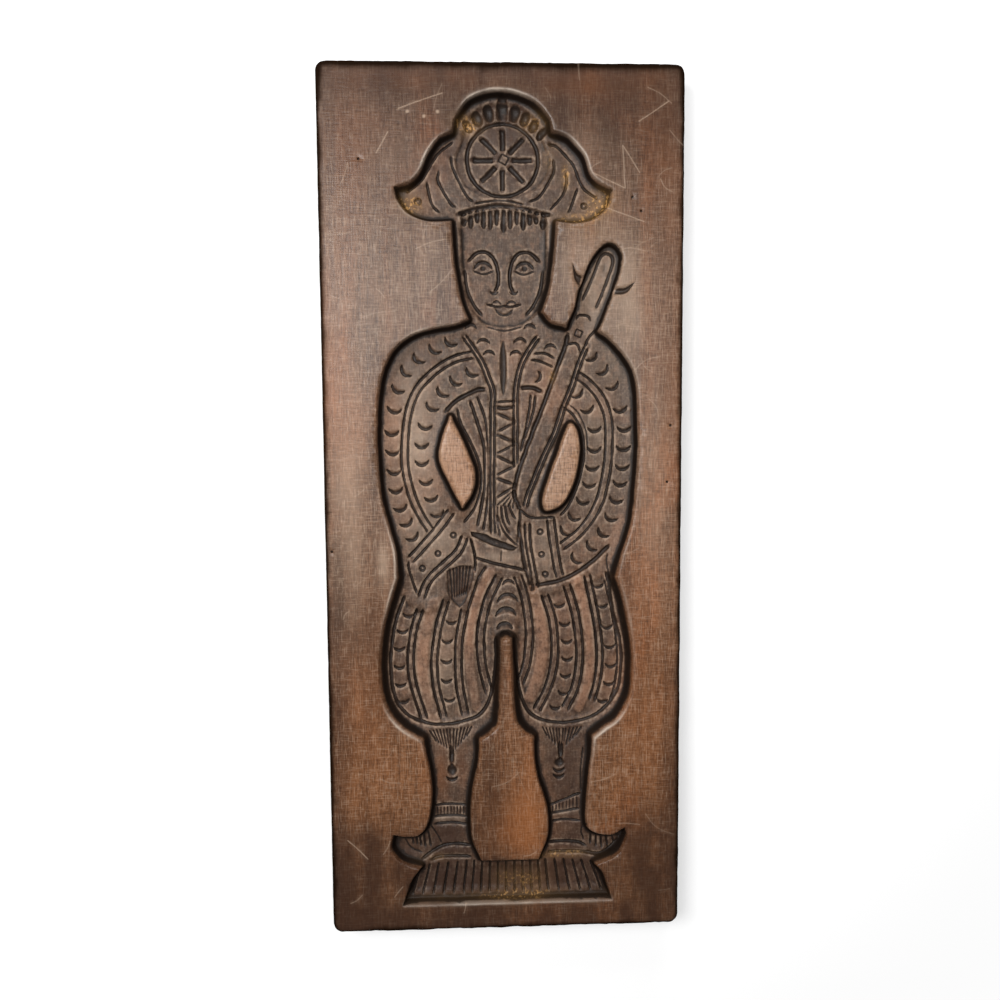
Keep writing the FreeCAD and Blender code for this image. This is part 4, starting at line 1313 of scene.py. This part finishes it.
@dataclass
class WoodPatterns:
    """The noises, places and marks that the wood's colours and its gloss share.

    Attributes:
        wood: Finish that they belong to.
    """

    wood: Finish

    def __post_init__(self) -> None:
        """Adds their nodes: the scales are in patches to the metre, and the grain runs along y."""
        wood = self.wood
        self.grain = wood.streaks((420.0, 22.0, 420.0), 4.0, 0.5)
        self.bands = wood.streaks((34.0, 2.4, 34.0), 3.0, 0.8)
        self.warp = wood.streaks((1250.0, 110.0, 1250.0), 2.0)
        self.weft = wood.streaks((130.0, 1250.0, 130.0), 2.0)
        self.speckle = wood.streaks((700.0, 560.0, 700.0), 4.0)
        self.patches = wood.streaks((16.0, 11.0, 16.0), 5.0, 0.6)
        self.clouds = wood.streaks((7.0, 4.0, 7.0), 3.0)
        self.mottle = wood.streaks((230.0, 190.0, 230.0), 5.0)
        self.spots = wood.streaks((520.0, 420.0, 520.0), 3.0)
        place = wood.node("ShaderNodeTexCoord", {}, {}, "Object")
        self.along = wood.node("ShaderNodeSeparateXYZ", {}, {"Vector": place}, "Y")
        self.sunk = wood.mark("sunk")
        # The edge and wall marks carry painted shade as well as dirt.
        self.edge = wood.mark("edge")
        self.wall = wood.mark("wall")


# A layer of colour: its share and its colour.
Layer = tuple[Value, Value | tuple]


@dataclass(frozen=True)
class OldWood:
    """Dark oiled hardwood, handled until its edges are pale, with dirt and painted shade in its recesses and
    at its edges, and painted sheen and highlights.

    Attributes:
        deep: Colour of the darkest grain, also laid on as the painted shade of the stained and shaded
            patches.
        upper: Colour of the face at the head end.
        lower: Colour of the face at the foot end.
        rusty: Colour of redder patches.
        amber: Colour of clean oiled patches.
        figure: Colour of the carved floors.
        warm: Colour of their higher and cleaner places.
        island: Colour of the two small fields inside the arms.
        dirt_and_shade: Colour of dirt and painted shade at the foot of the walls and on the board's edges.
        grime_and_shade: Colour of grime and painted shade in the bottom of the cuts.
        worn: Colour of rubbed edges.
        rim: Colour of the painted highlight along stretches of the recess rim.
        flecks: Colour of old crumbs left in the cuts.
        roughness: Roughness of the face.
    """

    deep: tuple = shade(50, 31, 21)
    upper: tuple = shade(110, 82, 63)
    lower: tuple = shade(124, 82, 52)
    rusty: tuple = shade(144, 84, 44)
    amber: tuple = shade(152, 90, 46)
    figure: tuple = shade(74, 61, 51)
    warm: tuple = shade(154, 112, 86)
    island: tuple = shade(164, 126, 98)
    dirt_and_shade: tuple = shade(20, 12, 7)
    grime_and_shade: tuple = shade(23, 16, 12)
    # worn: Colour of worn edges, scratches and scrubbing marks, also laid on as the painted sheen of the
    # worn and sheen patches.
    worn: tuple = shade(180, 156, 134)
    rim: tuple = shade(206, 192, 176)
    flecks: tuple = shade(196, 148, 88)
    roughness: float = 0.25

    def streaked(self, by: WoodPatterns) -> list[Layer]:
        """Redder and darker streaks of the plain face.

        Args:
            by: Patterns that the layers follow.

        Returns:
            The layers, lowest first.
        """
        return [
            (by.patches.between(0.52, 0.78) * 0.6, self.rusty),
            (by.bands.between(0.52, 0.72) * 0.32, self.rusty),
            (by.bands.between(0.5, 0.3) * 0.55, self.deep),
            (by.grain.between(0.62, 0.3) * 0.42, self.deep),
            (by.clouds.between(0.55, 0.3) * 0.3, self.deep),
        ]

    def carved(self, by: WoodPatterns) -> list[Layer]:
        """The floors with their panels and bands, and the two small fields inside the arms.

        Args:
            by: Patterns that the layers follow.

        Returns:
            The layers, lowest first.
        """
        wood = by.wood
        floor = wood.mixed(by.patches.between(0.48, 0.72) * 0.45, self.figure, self.warm)
        return [
            (by.sunk.between(0.3, 0.9) * 0.8, floor),
            (wood.mark("panel") * (0.2 + by.patches.between(0.35, 0.6) * 0.45), self.warm),
            (wood.mark("band") * 0.3, self.deep),
            (by.mottle.between(0.52, 0.32) * by.sunk * 0.5, self.deep),
            (by.mottle.between(0.5, 0.68) * by.sunk * 0.2, self.warm),
            (wood.mark("isle") * 0.75, self.island),
            (by.sunk * by.along.between(-0.12, -0.26) * 0.5, self.deep),
        ]

    def brushed(self, by: WoodPatterns) -> list[Layer]:
        """Pores, and the fine crossed marks of scrubbing, which are weaker on the floors.

        Args:
            by: Patterns that the layers follow.

        Returns:
            The layers, lowest first.
        """
        bare = 1 - by.sunk * 0.7
        dark = by.warp.between(0.5, 0.3) * 0.5 + by.weft.between(0.5, 0.3) * 0.32
        pale = by.warp.between(0.52, 0.72) * 0.28 + by.weft.between(0.52, 0.72) * 0.2
        return [
            (by.speckle.between(0.5, 0.3) * 0.34, self.deep),
            (by.speckle.between(0.5, 0.75) * 0.15, self.worn),
            (dark * bare, self.deep),
            (pale * bare, self.worn),
        ]

    def handled(self, by: WoodPatterns) -> list[Layer]:
        """Oiled patches, worn patches with painted sheen, stains with painted shade, darker ends, pale edges
        on cuts, and a painted highlight along the rim.

        Args:
            by: Patterns that the layers follow.

        Returns:
            The layers, lowest first.
        """
        wood = by.wood
        uneven = by.along + by.patches * 0.1
        ends = uneven.between(0.2, 0.33) * 0.5 + uneven.between(-0.15, -0.24) * 0.35
        stained_and_shaded = wood.mark("stained_and_shaded")
        proud = wood.mark("proud") * (0.3 + by.mottle.between(0.35, 0.6)) * (1 - stained_and_shaded * 0.75)
        return [
            (wood.mark("amber") * 0.42, self.amber),
            # Worn patches, partly painted sheen and highlights.
            (wood.mark("rubbed_and_sheen") * 0.42, self.worn),
            (ends, self.deep),
            # Stains, partly painted shade.
            (stained_and_shaded * 0.8, self.deep),
            (proud.between(0.05, 1.3) * 0.4, self.worn),
            # Painted highlight along the recess rim.
            (wood.mark("lip") * 0.6, self.rim),
        ]

    def dirtied_and_shaded(self, by: WoodPatterns) -> list[Layer]:
        """Dirt and painted shade on the walls, in the cuts and on the board's edges, scratches and old
        crumbs.

        Args:
            by: Patterns that the layers follow.

        Returns:
            The layers, lowest first.
        """
        wood = by.wood
        crumbs = wood.mark("crumbs")
        return [
            # Painted shade and dirt down the recess walls.
            (by.wall.between(0.05, 0.75) * 0.94, self.dirt_and_shade),
            # Painted shade and grime in the cuts.
            (wood.mark("hollow").between(0.03, 0.6) * 0.88, self.grime_and_shade),
            # Painted shade and dirt towards the board's edges.
            (by.edge.between(0.14, 0.62) * 0.94, self.dirt_and_shade),
            (wood.mark("scratch") * 0.6, self.worn),
            (by.spots.between(0.54, 0.6) * crumbs.between(0.15, 0.9) * 0.6, self.flecks),
            (crumbs * 0.18, self.flecks),
        ]

    def material(self) -> bpy.types.Material:
        """Lays all colours over each other, matt where the dirt and painted shade of walls and edges lie,
        and oiled elsewhere.

        Returns:
            The material.
        """
        wood = Finish("old_wood")
        by = WoodPatterns(wood)
        colour = wood.mixed((by.along + by.clouds * 0.2).between(-0.12, 0.24), self.lower, self.upper)
        for layers in (self.streaked, self.carved, self.brushed, self.handled, self.dirtied_and_shaded):
            for share, tint in layers(by):
                colour = wood.mixed(share, colour, tint)
        rough = self.roughness + by.grain.between(0.3, 0.7) * 0.06 + by.sunk * 0.2
        rough = rough + by.edge * 0.4 + by.wall * 0.2 + by.patches * 0.06
        height = by.grain * 0.35 + by.warp * 0.5 + by.weft * 0.5 + by.speckle * 0.15
        bump = wood.node("ShaderNodeBump", {}, {"Height": height, "Strength": 0.4, "Distance": 0.0005})
        oiled = wood.node("ShaderNodeBsdfPrincipled", {},
                          {"Base Color": colour, "Roughness": rough, "Normal": bump, "IOR": 1.32})
        dusty = wood.node("ShaderNodeBsdfDiffuse", {}, {"Color": colour, "Normal": bump})
        dull = by.edge.between(0.1, 0.6).at_least(by.wall * 0.9)
        shader = wood.node("ShaderNodeMixShader", {}, {0: dull, 1: oiled, 2: dusty})
        wood.tree.links.new(shader.socket, wood.output.inputs["Surface"])
        return wood.material


@dataclass(frozen=True)
class StudioWhite:
    """A pale floor that the camera sees as white where no shadow falls.

    Attributes:
        paint: Colour of the floor for all other light.
        glow: What the camera sees near the board in a full shadow.
        far: What it sees where the lamps don't reach.
    """

    paint: tuple = (0.6, 0.6, 0.6, 1.0)
    glow: tuple = (0.44, 0.44, 0.44, 1.0)
    far: tuple = (1.0, 1.0, 1.0, 1.0)

    def material(self) -> bpy.types.Material:
        """Adds a white glow to the paint for camera rays.

        Returns:
            The material.
        """
        floor = Finish("studio_white")
        paint = floor.node("ShaderNodeBsdfDiffuse", {}, {"Color": self.paint})
        place = floor.node("ShaderNodeTexCoord", {}, {}, "Object")
        away = floor.node("ShaderNodeVectorMath", {"operation": "LENGTH"}, {0: place}, "Value")
        tint = floor.mixed(away.between(0.42, 1.1), self.glow, self.far)
        white = floor.node("ShaderNodeEmission", {}, {"Color": tint, "Strength": 1.0})
        lit = floor.node("ShaderNodeAddShader", {}, {0: paint, 1: white})
        share = floor.node("ShaderNodeLightPath", {}, {}, "Is Camera Ray")
        both = floor.node("ShaderNodeMixShader", {}, {0: share, 1: paint, 2: lit})
        floor.tree.links.new(both.socket, floor.output.inputs["Surface"])
        return floor.material


# Lamps: name, place, side of the square in metres and power in watts.
LAMPS: list[tuple[str, tuple[float, float, float], float, float]] = [
    ("window_lamp", (-0.5, 0.3, 1.05), 0.5, 12.5),
    ("sheen_lamp", (0.1, 0.18, 1.2), 0.5, 4.6),
    ("head_lamp", (0.1, 1.35, 0.6), 0.7, 8.0),
]


@dataclass
class Studio:
    """The floor, the lamps, the plain surroundings and the camera.

    Attributes:
        face: Height of the board's face, in metres.
        dim: Strength of the light that the surroundings give.
        side: Half the floor's side, in metres.
        below: How far the floor is under the board, in metres.
        eye: Camera's place about the middle of the face, in metres.
        look: Way that the camera looks.
        up: Way that the top of the picture points.
        lens: Focal length for a 36 mm wide frame.
    """

    face: float
    dim: float = 0.2
    side: float = 6.0
    below: float = 0.0005
    eye: tuple[float, float, float] = (-0.0296, 0.055, 0.614)
    look: tuple[float, float, float] = (0.043, -0.077, -0.996)
    up: tuple[float, float, float] = (0.010, 0.997, -0.077)
    lens: float = 32.2

    def build(self) -> None:
        """Sets up the whole studio."""
        self.floor()
        for lamp in LAMPS:
            self.lamp(*lamp)
        self.surroundings()
        bpy.context.scene.view_settings.view_transform = "Standard"
        self.camera()

    def surroundings(self) -> None:
        """Plain surroundings: white for the camera and dim for the light that they give."""
        world = bpy.data.worlds.new("studio")
        world.use_nodes = True
        nodes, links = world.node_tree.nodes, world.node_tree.links
        light = nodes["Background"]
        light.inputs["Color"].default_value = (1, 1, 1, 1)
        light.inputs["Strength"].default_value = self.dim
        white = nodes.new("ShaderNodeBackground")
        seen = nodes.new("ShaderNodeLightPath")
        both = nodes.new("ShaderNodeMixShader")
        links.new(seen.outputs["Is Camera Ray"], both.inputs[0])
        links.new(light.outputs[0], both.inputs[1])
        links.new(white.outputs[0], both.inputs[2])
        white.inputs["Color"].default_value = (1, 1, 1, 1)
        links.new(both.outputs[0], nodes["World Output"].inputs["Surface"])
        bpy.context.scene.world = world

    def floor(self) -> None:
        """A wide floor just under the board."""
        mesh = bpy.data.meshes.new("floor")
        corners = [(across * self.side, along * self.side, 0)
                   for across, along in ((-1, -1), (1, -1), (1, 1), (-1, 1))]
        mesh.from_pydata(corners, [], [(0, 1, 2, 3)])
        mesh.materials.append(StudioWhite().material())
        floor = bpy.data.objects.new("floor", mesh)
        bpy.context.scene.collection.objects.link(floor)
        floor.location.z = -self.below

    def lamp(self, name: str, place: tuple[float, float, float], size: float, power: float) -> None:
        """A square soft lamp that shines at the middle of the board.

        Args:
            name: The lamp's name.
            place: Where it hangs.
            size: Side of its square.
            power: Power in watts.
        """
        light = bpy.data.lights.new(name, "AREA")
        light.size = size
        light.energy = power
        lamp = bpy.data.objects.new(name, light)
        lamp.location = place
        lamp.rotation_euler = (-Vector(place)).to_track_quat("-Z", "Y").to_euler()
        bpy.context.scene.collection.objects.link(lamp)

    def camera(self) -> None:
        """The camera, set from its measured place and directions."""
        lens = bpy.data.cameras.new("camera")
        lens.lens = self.lens
        lens.sensor_width = 36.0
        camera = bpy.data.objects.new("camera", lens)
        back = -Vector(self.look).normalized()
        right = Vector(self.up).cross(back).normalized()
        top = back.cross(right)
        turn = Matrix((right, top, back)).transposed().to_4x4()
        camera.matrix_world = Matrix.Translation(Vector(self.eye) + Vector((0, 0, self.face))) @ turn
        bpy.context.scene.collection.objects.link(camera)
        bpy.context.scene.camera = camera


def main() -> None:
    """Builds the board, dresses it and sets up the studio."""
    logging.basicConfig(level=logging.INFO, format="%(name)s: %(message)s")
    low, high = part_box("mould_board")
    board = Board(tuple(low), tuple(high)).build()
    board.data.materials.clear()
    board.data.materials.append(OldWood().material())
    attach(board, "root")
    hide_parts("mould_board")
    LOG.info("carved board in place")
    Studio(face=high[2]).build()
    LOG.info("studio in place")


if __name__ == "__main__":
    main()
